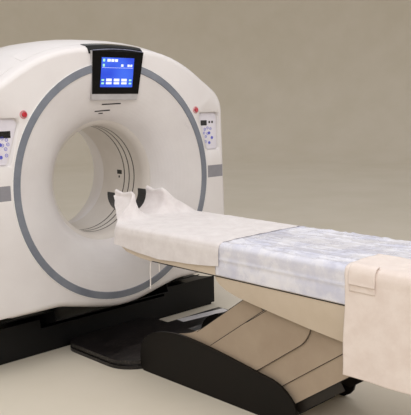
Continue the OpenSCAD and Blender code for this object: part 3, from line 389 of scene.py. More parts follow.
# Display plate and strap
# A sheet of black acrylic with a polished edge, glued on the front of the shell, and the
# strap above it. The acrylic is deep black, with sharp but weak reflections.
PLATE_T, PLATE_EDGE = 0.003, 0.0012
PLATE_FOOT_HALF, PLATE_TOP_HALF = 0.175, 0.1915
gloss_black = finish(
    "gloss_black_acrylic", ("030304", "070708"), 140, 0.12, 1.4, 0.006, Specular_IOR_Level=0.22
)
paint(gloss_black, "display_cap")
plate_h = HOUSING_HIGH.z - LIP_TOP
plate = block(
    (0, HOUSING_LOW.y, HOUSING_HIGH.z - plate_h / 2),
    (HOUSING_HIGH.x * 2 - 0.001, PLATE_T, plate_h), PLATE_EDGE,
)
pick(plate, "VERT", lambda spot, normal: spot.z < LIP_TOP + 0.01)
bpy.ops.transform.resize(value=(PLATE_FOOT_HALF / PLATE_TOP_HALF, 1, 1), center_override=(0, 0, 0))
bpy.ops.object.mode_set(mode="OBJECT")
lean_back(plate)
settle("display_plate", [plate], gloss_black, "tilting_gantry")

# Highlight under the strap
# A round bead lies in the joint between the plate and the strap, in a low arch. Its pale
# blue-grey is a painted highlight: the one bright line along the plate's bevelled top edge.
ARCH_HALF, ARCH_END_Z, ARCH_RISE, ARCH_DEPTH = 0.19, 1.8475, 0.012, 0.006
HIGHLIGHT_LINE_R = 0.0016


def bead(points, radius):
    """A round bead with closed ends through points, shaped from a curve."""
    curve = bpy.data.curves.new("bead", "CURVE")
    curve.dimensions = "3D"
    line = curve.splines.new("POLY")
    line.points.add(len(points) - 1)
    for spot, place in zip(line.points, points):
        spot.co = (*place, 1)
    curve.bevel_depth = radius
    curve.bevel_resolution = 2
    curve.use_fill_caps = True
    piece = bpy.data.objects.new("bead", curve)
    bpy.context.scene.collection.objects.link(piece)
    select_only(piece)
    bpy.ops.object.convert(target="MESH")
    return bpy.context.view_layer.objects.active


arch = []
for k in range(-12, 13):
    x = ARCH_HALF * k / 12
    bow = 1 - (x / ARCH_HALF) ** 2
    arch.append((x, HOUSING_LOW.y + 0.001 - ARCH_DEPTH * bow, ARCH_END_Z + ARCH_RISE * bow))
settle(
    "display_highlight_line", [bead(arch, HIGHLIGHT_LINE_R)], finish("painted_highlight_line", ("8f93b4", "a3a7c2"), 30, 0.25, 0.8, 0.01),
    "tilting_gantry",
)

# Screen
# A liquid crystal panel behind bonded glass, set in the plate. It shows a plain blue
# picture that shines by itself, with a faint pixel grid under a hard gloss.
SCREEN_LOW, SCREEN_HIGH = (Vector(corner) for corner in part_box("display_screen"))
SCREEN_Y = HOUSING_LOW.y - 0.0018
SCREEN_T = 0.0012
screen_mat = bpy.data.materials.new("lit_screen")
screen_mat.use_nodes = True
tree = screen_mat.node_tree
shader = tree.nodes["Principled BSDF"]
shader.inputs["Roughness"].default_value = 0.12
shader.inputs["Emission Strength"].default_value = 0.5
place = add_node(tree, "ShaderNodeTexCoord").outputs["Object"]
glow = add_node(tree, "ShaderNodeTexNoise", {"Vector": place, "Scale": 6.0, "Detail": 1.0})
tint = add_node(tree, "ShaderNodeValToRGB", {"Fac": glow.outputs["Fac"]})
for element, position, tone in zip(tint.color_ramp.elements, (0.3, 0.7), ("2446cf", "3c68e6")):
    element.position = position
    element.color = rgb(tone)
tree.links.new(tint.outputs["Color"], shader.inputs["Base Color"])
tree.links.new(tint.outputs["Color"], shader.inputs["Emission Color"])
grid = add_node(tree, "ShaderNodeTexVoronoi", {"Vector": place, "Scale": 900.0}, distance="CHEBYCHEV")
pixel = add_node(
    tree, "ShaderNodeBump", {"Height": grid.outputs["Distance"], "Strength": 0.15, "Distance": 0.0001}
)
tree.links.new(pixel.outputs["Normal"], shader.inputs["Normal"])
screen = block(
    (0, SCREEN_Y, (SCREEN_LOW.z + SCREEN_HIGH.z) / 2),
    (SCREEN_HIGH.x - SCREEN_LOW.x, SCREEN_T, SCREEN_HIGH.z - SCREEN_LOW.z), 0.0003,
)
lean_back(screen)
screen = settle("lit_screen", [screen], screen_mat, "tilting_gantry")
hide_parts("display_screen")

# Fields on the screen
# Plain light blocks stand for the screen's values and its buttons, white ones in the
# middle and pale green ones at the sides. They glow about as strongly as the picture.
FIELD_T = 0.0006


def glowing(name, colour, strength):
    """A plain lit colour with a slight unevenness."""
    mat = finish(name, (colour, colour), 8, 0.3, 1.0, 0.005)
    mat.node_tree.nodes["Principled BSDF"].inputs["Emission Color"].default_value = rgb(colour)
    mat.node_tree.nodes["Principled BSDF"].inputs["Emission Strength"].default_value = strength
    return mat


def screen_blocks(name, mat, fields):
    """Thin plates on the screen, each from its left, bottom, right and top as shares of it."""
    made = []
    for left, bottom, right, top in fields:
        w = (right - left) * (SCREEN_HIGH.x - SCREEN_LOW.x)
        h = (top - bottom) * (SCREEN_HIGH.z - SCREEN_LOW.z)
        x = SCREEN_LOW.x + (left + right) / 2 * (SCREEN_HIGH.x - SCREEN_LOW.x)
        z = SCREEN_LOW.z + (bottom + top) / 2 * (SCREEN_HIGH.z - SCREEN_LOW.z)
        edge = min(0.0002, w / 4, h / 4)
        made.append(block((x, SCREEN_Y - SCREEN_T / 2, z), (w, FIELD_T, h), edge, segments=1))
        lean_back(made[-1])
    return settle(name, made, mat, "tilting_gantry")


buttons = [
    (0.17 + 0.235 * k, bottom, 0.34 + 0.235 * k, top)
    for bottom, top in ((0.10, 0.17), (0.20, 0.29))
    for k in range(3)
]
values = [
    (0.17, 0.86, 0.27, 0.95), (0.29, 0.86, 0.38, 0.95), (0.40, 0.86, 0.49, 0.95),
    (0.60, 0.70, 0.67, 0.78), (0.80, 0.70, 0.87, 0.78), (0.89, 0.70, 0.95, 0.78),
    (0.03, 0.655, 0.97, 0.663),
]
screen_blocks("screen_values", glowing("lit_white", "dfe8ff", 0.6), buttons + values)
symbols = [
    (0.04, 0.86, 0.10, 0.95), (0.04, 0.69, 0.10, 0.78), (0.03, 0.10, 0.11, 0.16),
    (0.03, 0.21, 0.11, 0.27), (0.88, 0.10, 0.96, 0.16), (0.88, 0.21, 0.96, 0.27),
]
screen_blocks("screen_symbols", glowing("lit_green", "a5e6c4", 0.5), symbols)

# Slots under the display
# Short slots in the funnel under the display, where it is latched, drawn as rounded black
# beads that follow the dish.
GROOVES = (
    # left x, right x, z at the right end, rise of the left end, radius
    (-0.066, 0.074, 1.534, -0.004, 0.0042),
    (-0.104, 0.012, 1.494, -0.006, 0.0042),
    (-0.064, -0.032, 1.475, 0.0, 0.0036),
)
GROOVE_POINTS = 13


def on_surface(node, x, z):
    """The point of a CAD node that faces the table at x and z."""
    start = node.matrix_world.inverted() @ Vector((x, -1.5, z))
    hit, place, _, _ = node.ray_cast(start, Vector((0, 1, 0)))
    if not hit:
        raise ValueError(f"{node.name} isn't hit at {x}, {z}")
    return node.matrix_world @ place


grooves = []
for left, right, z, rise, radius in GROOVES:
    shares = [k / (GROOVE_POINTS - 1) for k in range(GROOVE_POINTS)]
    line = [
        on_surface(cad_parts["funnel_cover"], left + (right - left) * share, z + rise * (1 - share))
        for share in shares
    ]
    grooves.append(bead(line, radius))
settle("funnel_grooves", grooves, insert_mat, "tilting_gantry")

# Control panels
# Two membrane panels in pockets of the front cover, each a printed polyester film glued
# on a moulded frame. The film is lilac-white and quite matt, with a very faint grain.
paint(finish("panel_film", ("e2dee8", "eae6ee"), 60, 0.4, 0.9, 0.012), "left_panel", "right_panel")
PANEL_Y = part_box("left_panel")[0][1]

# Readouts
# Each panel has a small display at its top, behind a clear window in the film, and the
# right one has two indicator lamps beside it. Unlit, they are black and glossy.
LAMP_SIZE, LAMP_Z = (0.015, 0.002, 0.015), 1.396
readouts = [
    block((-0.760, PANEL_Y - 0.0004, 1.376), (0.068, 0.0016, 0.038), 0.0007),
    block((0.742, PANEL_Y - 0.0004, 1.392), (0.058, 0.0016, 0.036), 0.0007),
    block((0.796, PANEL_Y - 0.0006, LAMP_Z), LAMP_SIZE, 0.0009),
    block((0.823, PANEL_Y - 0.0006, LAMP_Z), LAMP_SIZE, 0.0009),
]
settle("panel_readouts", readouts, insert_mat, "tilting_gantry")

# Key rings
# Rings are printed round the membrane keys, in a loose circle with two more below it, each
# with a short mark in its middle. The ink is blue-violet and lies a little proud.
KEY_SPOTS = (
    (0.745, 1.322), (0.752, 1.347), (0.778, 1.356), (0.806, 1.350), (0.760, 1.297), (0.757, 1.262),
    (0.778, 1.318),
)
RING_R, RING_TUBE = 0.0082, 0.0013
key_mat = finish("violet_print", ("4347c4", "5a5fd0"), 20, 0.42, 0.9, 0.01)
key_rings = []
for side in (-1, 1):
    for x, z in KEY_SPOTS:
        bpy.ops.object.select_all(action="DESELECT")
        bpy.ops.mesh.primitive_torus_add(
            major_segments=32, minor_segments=8, major_radius=RING_R, minor_radius=RING_TUBE,
            location=(side * x, PANEL_Y - 0.0003, z), rotation=(math.pi / 2, 0, 0),
        )
        key_rings.append(bpy.context.object)
        mark = block((side * x, PANEL_Y - 0.0001, z), (0.0075, 0.0009, 0.0022), 0.0003, segments=2)
        key_rings.append(mark)
settle("key_rings", key_rings, key_mat, "tilting_gantry")

# Keys
# Three keys on each panel press down: moulded caps of translucent violet plastic over
# their switches. They look soft and slightly milky, under a thin gloss.
paint(
    finish("violet_caps", ("5157c6", "6a70d2"), 9, 0.35, 0.8, 0.01, Coat_Weight=0.2),
    *(f"{side}_key_{k}" for side in ("left", "right") for k in (1, 2, 3)),
)

# Emergency stops
# Two red mushroom buttons on sprung stems. Their moulded caps are a clear bright red with
# a sharp gloss.
paint(
    finish("gloss_red", ("b7202f", "cf3344"), 14, 0.2, 0.8, 0.01, Coat_Weight=0.7, Coat_Roughness=0.08),
    "left_stop_button", "right_stop_button",
)

# Collars of the stops
# A moulded collar round each stop button, pressed into the cover. Its plastic is a pale
# pink that takes a soft shine.
COLLAR_R, COLLAR_TUBE, COLLAR_Y = 0.0205, 0.0032, -0.4305
collars = []
for button in ("left_stop_button", "right_stop_button"):
    low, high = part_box(button)
    bpy.ops.object.select_all(action="DESELECT")
    bpy.ops.mesh.primitive_torus_add(
        major_segments=64, minor_segments=12, major_radius=COLLAR_R, minor_radius=COLLAR_TUBE,
        location=((low[0] + high[0]) / 2, COLLAR_Y, (low[2] + high[2]) / 2), rotation=(math.pi / 2, 0, 0),
    )
    collars.append(bpy.context.object)
pink_collar = finish("pink_collar", ("d98d93", "e3a2a6"), 10, 0.35, 0.8, 0.01)
collar_piece = settle("stop_collars", collars, pink_collar, "tilting_gantry")
collar_piece.data.shade_smooth()

# Side stripes
# Bands of moulded plastic let into the front cover at both sides, held by clips from
# behind. They are a cool satin grey.
paint(finish("grey_band", ("8d8c93", "98979e"), 90, 0.42, 1.4, 0.02), "side_stripes")

# Gantry base and belly cover
# The gantry's base and the cover between its sides are thick plastic mouldings, bolted to
# the floor and to the tilting frame.
# They are black, with a fine leather-like grain that breaks up the highlights.
paint(
    finish("grained_black", ("0a0a0b", "111112"), 180, 0.5, 1.1, 0.09, Specular_IOR_Level=0.25),
    "gantry_base", "belly_cover",
)

# Frame and columns
# Welded steel that carries the gantry: a ring frame with trunnions between two columns,
# which are bolted to the base. The machine paint is a satin grey, darker on the columns.
paint(finish("grey_machine_paint", ("777b80", "858a8f"), 120, 0.45, 1.5, 0.05), "tilt_frame")
paint(finish("dark_machine_paint", ("33373b", "3f4448"), 120, 0.5, 1.5, 0.05), "left_column", "right_column")

# Rotor and bearing
# A milled aluminium disc that carries the tube's cooler turns in a ring bearing of ground
# steel. The motor's pulley is of the same aluminium.
# Aluminium is pale with a soft sheen, and the steel darker and sharper.
paint(
    finish("milled_aluminium", ("a3a6a9", "b5b8bb"), 40, 0.34, 0.5, 0.03, Metallic=1.0),
    "rotor_disc", "motor_pulley", "heat_exchanger",
)
paint(
    finish("ground_steel", ("8f9194", "a3a5a8"), 30, 0.26, 0.4, 0.02, Metallic=1.0),
    "bearing_outer_race", "bearing_inner_race",
)

# Tube, collimator and detector
# The X-ray tube in its metal housing, the leaded collimator under it and the detector
# across the bore are bolted on the rotor. Their paints go from a pale to a dark grey, all
# matt to satin.
paint(finish("pale_metal_paint", ("aeb3b5", "bcc1c3"), 70, 0.42, 1.2, 0.04), "xray_tube")
paint(finish("leaded_box_paint", ("565b5f", "656a6e"), 60, 0.5, 1.4, 0.05), "collimator")
paint(finish("detector_housing", ("383c40", "464a4e"), 50, 0.55, 1.0, 0.04), "detector_arc")

# Generator and slip ring
# The high-voltage generator is a painted sheet-metal box, and brass tracks behind the
# rotor bring it its power. The paint is a plain grey, the brass a dull yellow sheen.
paint(finish("cabinet_paint", ("686d71", "767b7f"), 90, 0.45, 1.4, 0.05), "generator")
paint(finish("slip_brass", ("b09a5e", "c4ad6e"), 25, 0.28, 0.5, 0.02, Metallic=1.0), "slip_ring")

# Drive
# An electric motor on the frame turns the rotor with a rubber belt. The motor has a dark
# satin paint, and the rubber is black and dull.
paint(finish("motor_paint", ("44494d", "52575b"), 50, 0.48, 1.3, 0.05), "drive_motor")
paint(finish("belt_rubber", ("17181a", "222325"), 25, 0.7, 0.7, 0.06), "drive_belt")

# Floor plate
# A moulded plate on the floor between the gantry and the table, screwed down.
# It is a dark brown-black with a soft gloss, walked on and scuffed in short pale streaks.
plate_mat = finish(
    "trodden_plate", ("100d0d", "1a1617"), 120, 0.34, 1.8, 0.12, Coat_Weight=0.15, Coat_Roughness=0.3
)
tree = plate_mat.node_tree
shader = tree.nodes["Principled BSDF"]
place = add_node(tree, "ShaderNodeTexCoord").outputs["Object"]
stretch = add_node(
    tree, "ShaderNodeMapping", {"Vector": place, "Scale": (9.0, 34.0, 9.0), "Rotation": (0.0, 0.0, 0.6)}
)
streaks = add_node(
    tree, "ShaderNodeTexNoise",
    {"Vector": stretch.outputs["Vector"], "Scale": 3.0, "Detail": 6.0, "Roughness": 0.7},
)
worn = add_node(
    tree, "ShaderNodeMapRange", {"Value": streaks.outputs["Fac"], "From Min": 0.56, "From Max": 0.74}
)
tones = add_node(tree, "ShaderNodeMix", {0: worn.outputs["Result"]}, data_type="RGBA")
base_link = shader.inputs["Base Color"].links[0]
tree.links.new(base_link.from_socket, tones.inputs[6])
tones.inputs[7].default_value = rgb("6a625c")
tree.links.new(tones.outputs[2], shader.inputs["Base Color"])
paint(plate_mat, "floor_plate")

# Duct strip
# The edge strip of the cable duct in the floor plate: thin anodised aluminium, screwed
# down. It is pale, with a soft metallic sheen.
DUCT_TOP = 0.022
STRIP_X, STRIP_Y, STRIP_TURN = 0.690, -0.428, -0.118
STRIP_L, STRIP_W, STRIP_T, STRIP_EDGE = 0.410, 0.074, 0.0022, 0.0008
strip = block(
    (STRIP_X, STRIP_Y, DUCT_TOP + STRIP_T / 2), (STRIP_L, STRIP_W, STRIP_T), STRIP_EDGE, (0, 0, STRIP_TURN),
    segments=2,
)
anodised = finish("anodised_strip", ("d6d3d6", "e4e1e3"), 45, 0.36, 0.5, 0.03, Metallic=0.15)
settle("duct_strip", [strip], anodised, "base")

# Table base and skirts
# A welded steel floor frame between two moulded side skirts and a cross cover, which are
# clipped to it. The frame has a dark satin paint. The skirts are a dark brown satin
# plastic with a fine grain.
paint(finish("floor_frame_paint", ("2f3337", "3a3f43"), 120, 0.5, 1.5, 0.05), "table_base")
paint(
    finish("grained_brown", ("0b0806", "130e0b"), 260, 0.42, 1.0, 0.08, Specular_IOR_Level=0.22),
    "near_skirt", "far_skirt", "base_nose",
)

# Lift linkage
# The leg and the guide link under the table are welded box sections on turned pins.
# Their enamel is a pale grey with a satin shine.
paint(finish("pale_enamel", ("c6c9cb", "d2d5d6"), 110, 0.4, 1.5, 0.04), "lift_leg", "guide_link")

# Louvre plates
# Four overlapping plates of coated sheet metal hide each side of the linkage, and a fifth
# one closes the gap under them. Each turns on its own pin.
# The coating is a warm grey-tan with a soft sheen, and nearly black on the fifth.
paint(
    finish(
        "tan_coated_sheet", ("a6937f", "b09e8a"), 320, 0.42, 1.3, 0.03, Coat_Weight=0.1, Coat_Roughness=0.3
    ),
    "side_panel_1", "side_panel_2", "side_panel_3", "side_panel_4",
)
paint(finish("dark_coated_sheet", ("17120e", "211a14"), 120, 0.5, 1.3, 0.04), "side_panel_5")

# Shadow lines on the plates
# Flattened black beads lie along the plates' overlapping edges, half a millimetre proud of
# each plate. They are painted shadow: their dull black draws the thin dark line of the
# shaded gap along each plate.
PIN_Z, LEG_TURN = 0.130, math.radians(35.2)
SHADOW_LINE_R, SHADOW_LINE_FLAT = 0.0016, 0.35
TAIL = (
    (80, -128.5), (400, -128.5), (650, -128.5), (690, -128), (722, -124), (750, -113), (772, -100),
    (799, -69),
)
SHADOW_LINES = (
    # plate, its pin's distance from the bore in mm, its outer face's x, and its lines in mm
    (1, 1180, 0.223, (((250, 62.5), (500, 62.5), (759, 62.5)),)),
    (2, 1435, 0.228, (TAIL, ((100, 106.5), (400, 106.5), (799, 106.5)), ((420, 104), (600, 98), (796, 88)))),
    (3, 1660, 0.218, (((90, -122.5), (400, -122.5), (769, -122.5)),)),
    (4, 1835, 0.213, (((90, -124.5), (400, -124.5), (759, -124.5)),)),
)


def on_plate(pin_y, s, t):
    """A place on a plate, s along it from its pin and t square to it, as y and z in metres."""
    y = -pin_y - s * math.cos(LEG_TURN) + t * math.sin(LEG_TURN)
    return y / 1000, PIN_Z + (s * math.sin(LEG_TURN) + t * math.cos(LEG_TURN)) / 1000


# The black of these beads is painted shadow, the shade in the gaps between the plates.
shadow_line_mat = finish("painted_shadow_line", ("0d0b0a", "171412"), 30, 0.6, 0.8, 0.03)
for number, pin_y, face, lines in SHADOW_LINES:
    edges = []
    for side in (-1, 1):
        for line in lines:
            edges.append(bead([(side * face, *on_plate(pin_y, s, t)) for s, t in line], SHADOW_LINE_R))
            pick(edges[-1], "VERT", lambda spot, normal: True)
            bpy.ops.transform.resize(value=(SHADOW_LINE_FLAT, 1, 1), center_override=(side * face, 0, 0))
            bpy.ops.object.mode_set(mode="OBJECT")
    settle(f"plate_shadow_line_{number}", edges, shadow_line_mat, f"panel_{number}")

# Table body and hull
# Thick mouldings over the table's steel beams and round its underside, screwed together
# along a level joint. They are painted ivory, with a broad satin sheen.
ivory = finish(
    "ivory_moulding", ("d2c2ae", "dccdbb"), 380, 0.38, 2.2, 0.03, Coat_Weight=0.2, Coat_Roughness=0.25
)
paint(ivory, "table_body")
smooth_copy("hull_cover", "hull_moulding", ivory, "tabletop")

# Body trim
# A thin extruded rubber strip is pressed into the joint between the body and the hull, on
# both sides, from behind the head end to the foot. The rubber is black and matt.
TRIM_HEAD, TRIM_X, TRIM_Z = -1.107, 0.3206, 0.6945
TRIM_T, TRIM_H = 0.0022, 0.0048
trim_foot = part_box("table_body")[0][1]
trims = [
    block(
        (side * TRIM_X, (trim_foot + TRIM_HEAD) / 2, TRIM_Z), (TRIM_T, TRIM_HEAD - trim_foot, TRIM_H), 0.0009,
        segments=2,
    )
    for side in (-1, 1)
]
black_rubber = finish("black_rubber", ("121112", "1b1a1b"), 40, 0.6, 0.8, 0.03)
settle("body_trim", trims, black_rubber, "tabletop")

# Cradle and head holder
# The long curved cradle and the trough for the head are carbon-fibre laminate over foam,
# lacquered. They are nearly black, with a fine fibre grain under a satin gloss.
laminate = finish(
    "fibre_laminate", ("1d1f22", "2a2d31"), 18, 0.32, 0.6, 0.02, Coat_Weight=0.4, Coat_Roughness=0.15
)
paint(laminate, "cradle", "head_holder")

# Cradle mattress
# A thin foam mattress in coated fabric that lies on the cradle: crowned, with rounded
# edges and a welded seam round its middle. The fabric is grey, with a low rubbery sheen.
PAD_LOW, PAD_HIGH = (Vector(corner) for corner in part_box("cradle_pad"))
PAD_COLUMNS, PAD_ROWS = 25, 61
PAD_INSET, PAD_PULL = 0.001, 0.004
SIDE_CROWN, END_CROWN = 9, 34


def woven(name, tones, thread_mm, depth_mm, rough, sheen):
    """A plain weave of crossing thread bands, with soft blotches of colour."""
    # The real threads are about half as wide. They are drawn coarser, so that they show.
    mat = finish(name, tones, 70, rough, 6.0, 0.2, Sheen_Weight=sheen, Sheen_Roughness=0.5)
    tree = mat.node_tree
    place = add_node(tree, "ShaderNodeTexCoord").outputs["Object"]
    spacing = {"Vector": place, "Scale": 1000 / thread_mm / 20 * math.pi, "Distortion": 0.6, "Detail": 1.0}
    bands = [
        add_node(tree, "ShaderNodeTexWave", spacing, bands_direction=axis).outputs["Fac"]
        for axis in ("X", "Y", "Z")
    ]
    two = add_node(tree, "ShaderNodeMath", {0: bands[0], 1: bands[1]}, operation="ADD")
    threads = add_node(tree, "ShaderNodeMath", {0: two.outputs[0], 1: bands[2]}, operation="ADD")
    grain = next(node for node in tree.nodes if node.type == "BUMP").outputs["Normal"]
    weave = add_node(
        tree, "ShaderNodeBump",
        {"Height": threads.outputs[0], "Strength": 0.5, "Distance": depth_mm / 1000, "Normal": grain},
    )
    tree.links.new(weave.outputs["Normal"], tree.nodes["Principled BSDF"].inputs["Normal"])
    return mat


def mesh_piece(name, points, faces, mat):
    """A mesh object at the origin, whose place is in its points."""
    mesh = bpy.data.meshes.new(name)
    mesh.from_pydata([tuple(p) for p in points], [], faces)
    mesh.update()
    piece = bpy.data.objects.new(name, mesh)
    bpy.context.scene.collection.objects.link(piece)
    mesh.materials.append(mat)
    return piece


def grid_faces(rows, columns):
    """The faces of a grid of points, row by row."""
    return [
        (j * columns + i, j * columns + i + 1, (j + 1) * columns + i + 1, (j + 1) * columns + i)
        for j in range(rows - 1)
        for i in range(columns - 1)
    ]


pad_points = []
pad_middle = (PAD_LOW.z + PAD_HIGH.z) / 2
for level in (-1, 1):
    for j in range(PAD_ROWS):
        for i in range(PAD_COLUMNS):
            s, t = i / (PAD_COLUMNS - 1), j / (PAD_ROWS - 1)
            crown = min(1.0, SIDE_CROWN * min(s, 1 - s)) ** 0.5 * min(1.0, END_CROWN * min(t, 1 - t)) ** 0.5
            pull = PAD_PULL * (1 - crown)
            x = PAD_LOW.x + PAD_INSET + pull + s * (PAD_HIGH.x - PAD_LOW.x - 2 * PAD_INSET - 2 * pull)
            y = PAD_LOW.y + PAD_INSET + t * (PAD_HIGH.y - PAD_LOW.y - 2 * PAD_INSET)
            rise = (PAD_HIGH.z - PAD_LOW.z) / 2 * (0.25 + 0.75 * crown) - 0.0003
            pad_points.append((x, y, pad_middle + level * rise))
count = PAD_COLUMNS * PAD_ROWS
pad_faces = [tuple(reversed(f)) for f in grid_faces(PAD_ROWS, PAD_COLUMNS)]
pad_faces += [tuple(v + count for v in f) for f in grid_faces(PAD_ROWS, PAD_COLUMNS)]
rim = list(range(PAD_COLUMNS)) + [j * PAD_COLUMNS + PAD_COLUMNS - 1 for j in range(1, PAD_ROWS)]
rim += [(PAD_ROWS - 1) * PAD_COLUMNS + i for i in range(PAD_COLUMNS - 2, -1, -1)]
rim += [j * PAD_COLUMNS for j in range(PAD_ROWS - 2, 0, -1)]
pad_faces += [(a, b, b + count, a + count) for a, b in zip(rim, rim[1:] + rim[:1])]
coated_fabric = woven("coated_fabric", ("5d6168", "6d7178"), 1.1, 0.08, 0.55, 0.1)
pad = mesh_piece("cradle_mattress", pad_points, pad_faces, coated_fabric)
pad.data.shade_smooth()
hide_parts("cradle_pad")
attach(pad, "cradle_body")

# Table cover
# A smooth film-backed sheet laid over the table and its mattress. It hangs down both
# sides to the black strip, with a pressed fold half way, and its top lies in creases.
# The film is a cool white, with long glossy lights along its creases.
SHEET_T = 0.0012
TOWEL_END = -1.631
COVER_HEAD, COVER_FOOT = -1.602, -3.190
COVER_ROWS, COVER_COLUMNS = 190, 170
BED_Z = 0.8650
COVER_HALF = [
    # x and z from the hem over the pressed fold to the middle of the bed
    (-0.3232, 0.7005), (-0.3240, 0.742), (-0.3236, 0.779), (-0.3258, 0.783), (-0.3236, 0.788),
    (-0.3238, 0.822), (-0.3215, 0.849), (-0.311, 0.8605), (-0.262, 0.8632), (-0.206, BED_Z),
    (-0.150, BED_Z), (-0.100, BED_Z), (-0.05, BED_Z),
]
LONG_FOLD, FINE_FOLD, SIDE_SWELL, HEM_WAVE, TUCK = 0.0064, 0.0030, 0.0016, 0.0025, 0.0036


def spline(points, count):
    """count points spread evenly along a smooth line through points."""
    p = np.array(points, float)
    t = np.concatenate([[0], np.cumsum(np.linalg.norm(np.diff(p, axis=0), axis=1))])
    m = np.gradient(p, t, axis=0)
    out = []
    for v in np.linspace(0, t[-1], count):
        k = min(np.searchsorted(t, v, side="right") - 1, len(p) - 2)
        h = t[k + 1] - t[k]
        s = (v - t[k]) / h
        out.append(
            (2 * s**3 - 3 * s**2 + 1) * p[k] + (s**3 - 2 * s**2 + s) * h * m[k]
            + (3 * s**2 - 2 * s**3) * p[k + 1] + (s**3 - s**2) * h * m[k + 1]
        )
    return np.array(out)


def cloth_piece(name, rows, mat, thickness=SHEET_T):
    """A sheet through rows of points, given a thickness away from what it lies on."""
    rows = np.array(rows)
    piece = mesh_piece(name, rows.reshape(-1, 3), grid_faces(rows.shape[0], rows.shape[1]), mat)
    thick = piece.modifiers.new("thick", "SOLIDIFY")
    thick.thickness = thickness
    thick.offset = -1.0
    apply_modifiers(piece)
    piece.data.shade_smooth()
    return piece


def wave(a, b, c):
    """A smooth wave between -1 and 1 at a place of its own field."""
    return noise.noise(Vector((a, b, c)))


def crumple(x, y, scale, seed):
    """Sharp-edged folds between 0 and 1, as in a sheet that was crushed and laid flat."""
    v = wave(x * scale, y * scale, seed) + 0.5 * wave(x * scale * 2.3, y * scale * 2.3, seed + 7)
    return 1 - min(1.0, abs(v) * 3.2)


def smooth_step(v, low, high):
    """From 0 at low to 1 at high, without a kink."""
    s = min(1.0, max(0.0, (v - low) / (high - low)))
    return s * s * (3 - 2 * s)


cover_line = spline(COVER_HALF + [(0.0, BED_Z)] + [(-x, z) for x, z in reversed(COVER_HALF)], COVER_COLUMNS)
cover_rows = []
for j in range(COVER_ROWS):
    y = COVER_HEAD + (COVER_FOOT - COVER_HEAD) * j / (COVER_ROWS - 1)
    bare = smooth_step(TOWEL_END - y, -0.001, 0.017)
    under_towel = smooth_step(y - TOWEL_END, -0.003, 0.007)
    row = []
    for x, z in cover_line:
        on_top = smooth_step(z, 0.856, 0.8635)
        calm_middle = 0.35 + 0.65 * smooth_step(abs(x - 0.02), 0.0, 0.2)
        long_folds = crumple(x * 2.4 + 0.06 * wave(y * 3, x * 2, 1), y * 0.55, 6.0, 3.1)
        fine_folds = crumple(x, y, 11.0, 9.4)
        lift = on_top * (LONG_FOLD * long_folds**3 + FINE_FOLD * fine_folds**2) * calm_middle
        swell = (1 - on_top) * SIDE_SWELL * (0.5 + 0.5 * wave(y * 5, z * 9, 4.0))
        hem = (1 - smooth_step(z, 0.700, 0.712)) * HEM_WAVE * wave(y * 7, 0.0, 2.0)
        tucked = TUCK * under_towel * smooth_step(z, 0.80, 0.85) * smooth_step(abs(x), 0.20, 0.29)
        row.append((x + (swell if x > 0 else -swell) * bare, y, z + lift * bare + hem - tucked))
    cover_rows.append(row)
film_mat = finish(
    "crumpled_film", ("d3d4e4", "efeef4"), 130, 0.27, 7.0, 0.7, Coat_Weight=0.3, Coat_Roughness=0.2
)
cover = cloth_piece("cover_sheet", cover_rows, film_mat)
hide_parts("table_cover")
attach(cover, "tabletop")

# Foot sheet
# A folded draw sheet lies across the foot end over the cover and hangs down on the near
# side in shallow folds. It is woven cotton, warm white and quite matt, with soft creases.
SHEET_HEAD, SHEET_FOOT, SHEET_LOW = -2.385, -3.120, 0.392
FOOT_ROWS, FOOT_COLUMNS = 120, 150
FOOT_HALF_LINE = [
    # x and z from the hem to the middle of the table
    (-0.3292, SHEET_LOW), (-0.3288, 0.46), (-0.3284, 0.58), (-0.3282, 0.70), (-0.3282, 0.80),
    (-0.3276, 0.845), (-0.3200, 0.8625), (-0.3000, 0.8715), (-0.2500, 0.8748), (-0.2050, 0.8755),
    (-0.1400, 0.8755), (-0.0720, 0.8755),
]
COTTON_T, FOLD_DEPTH, FOLD_TURN = 0.0014, 0.006, 21


foot_line = spline(FOOT_HALF_LINE, FOOT_COLUMNS)
foot_rows = []
for j in range(FOOT_ROWS):
    y = SHEET_HEAD + (SHEET_FOOT - SHEET_HEAD) * j / (FOOT_ROWS - 1)
    row = []
    for x, z in foot_line:
        hang = smooth_step(0.84 - z, 0.0, 0.42)
        fold = 0.5 + 0.5 * math.sin(y * FOLD_TURN + 2.2 * wave(y * 3, z * 1.5, 5.0))
        soft = 0.5 + 0.5 * wave(y * 12, z * 9, 8.0)
        edge = 0.004 * hang * wave(z * 8, 2 * j // FOOT_ROWS, 6.0) + 0.006 * (j == 0) * wave(z * 5, 1.0, 3.0)
        hem = 0.003 * wave(y * 6, 2.0, 1.0) * smooth_step(0.5 - z, 0.0, 0.1)
        up = smooth_step(z, 0.868, 0.8745)
        out = hang * (FOLD_DEPTH * fold + 0.002 * soft) * (1 - up)
        row.append((x - out, y + edge, z + hem + up * 0.003 * crumple(x, y, 9.0, 12.5)))
    foot_rows.append(row)
cotton = woven("cotton_weave", ("e8d9d0", "f0e3db"), 1.3, 0.12, 0.85, 0.35)
foot = cloth_piece("foot_draw_sheet", foot_rows, cotton, COTTON_T)
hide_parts("foot_sheet")
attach(foot, "tabletop")

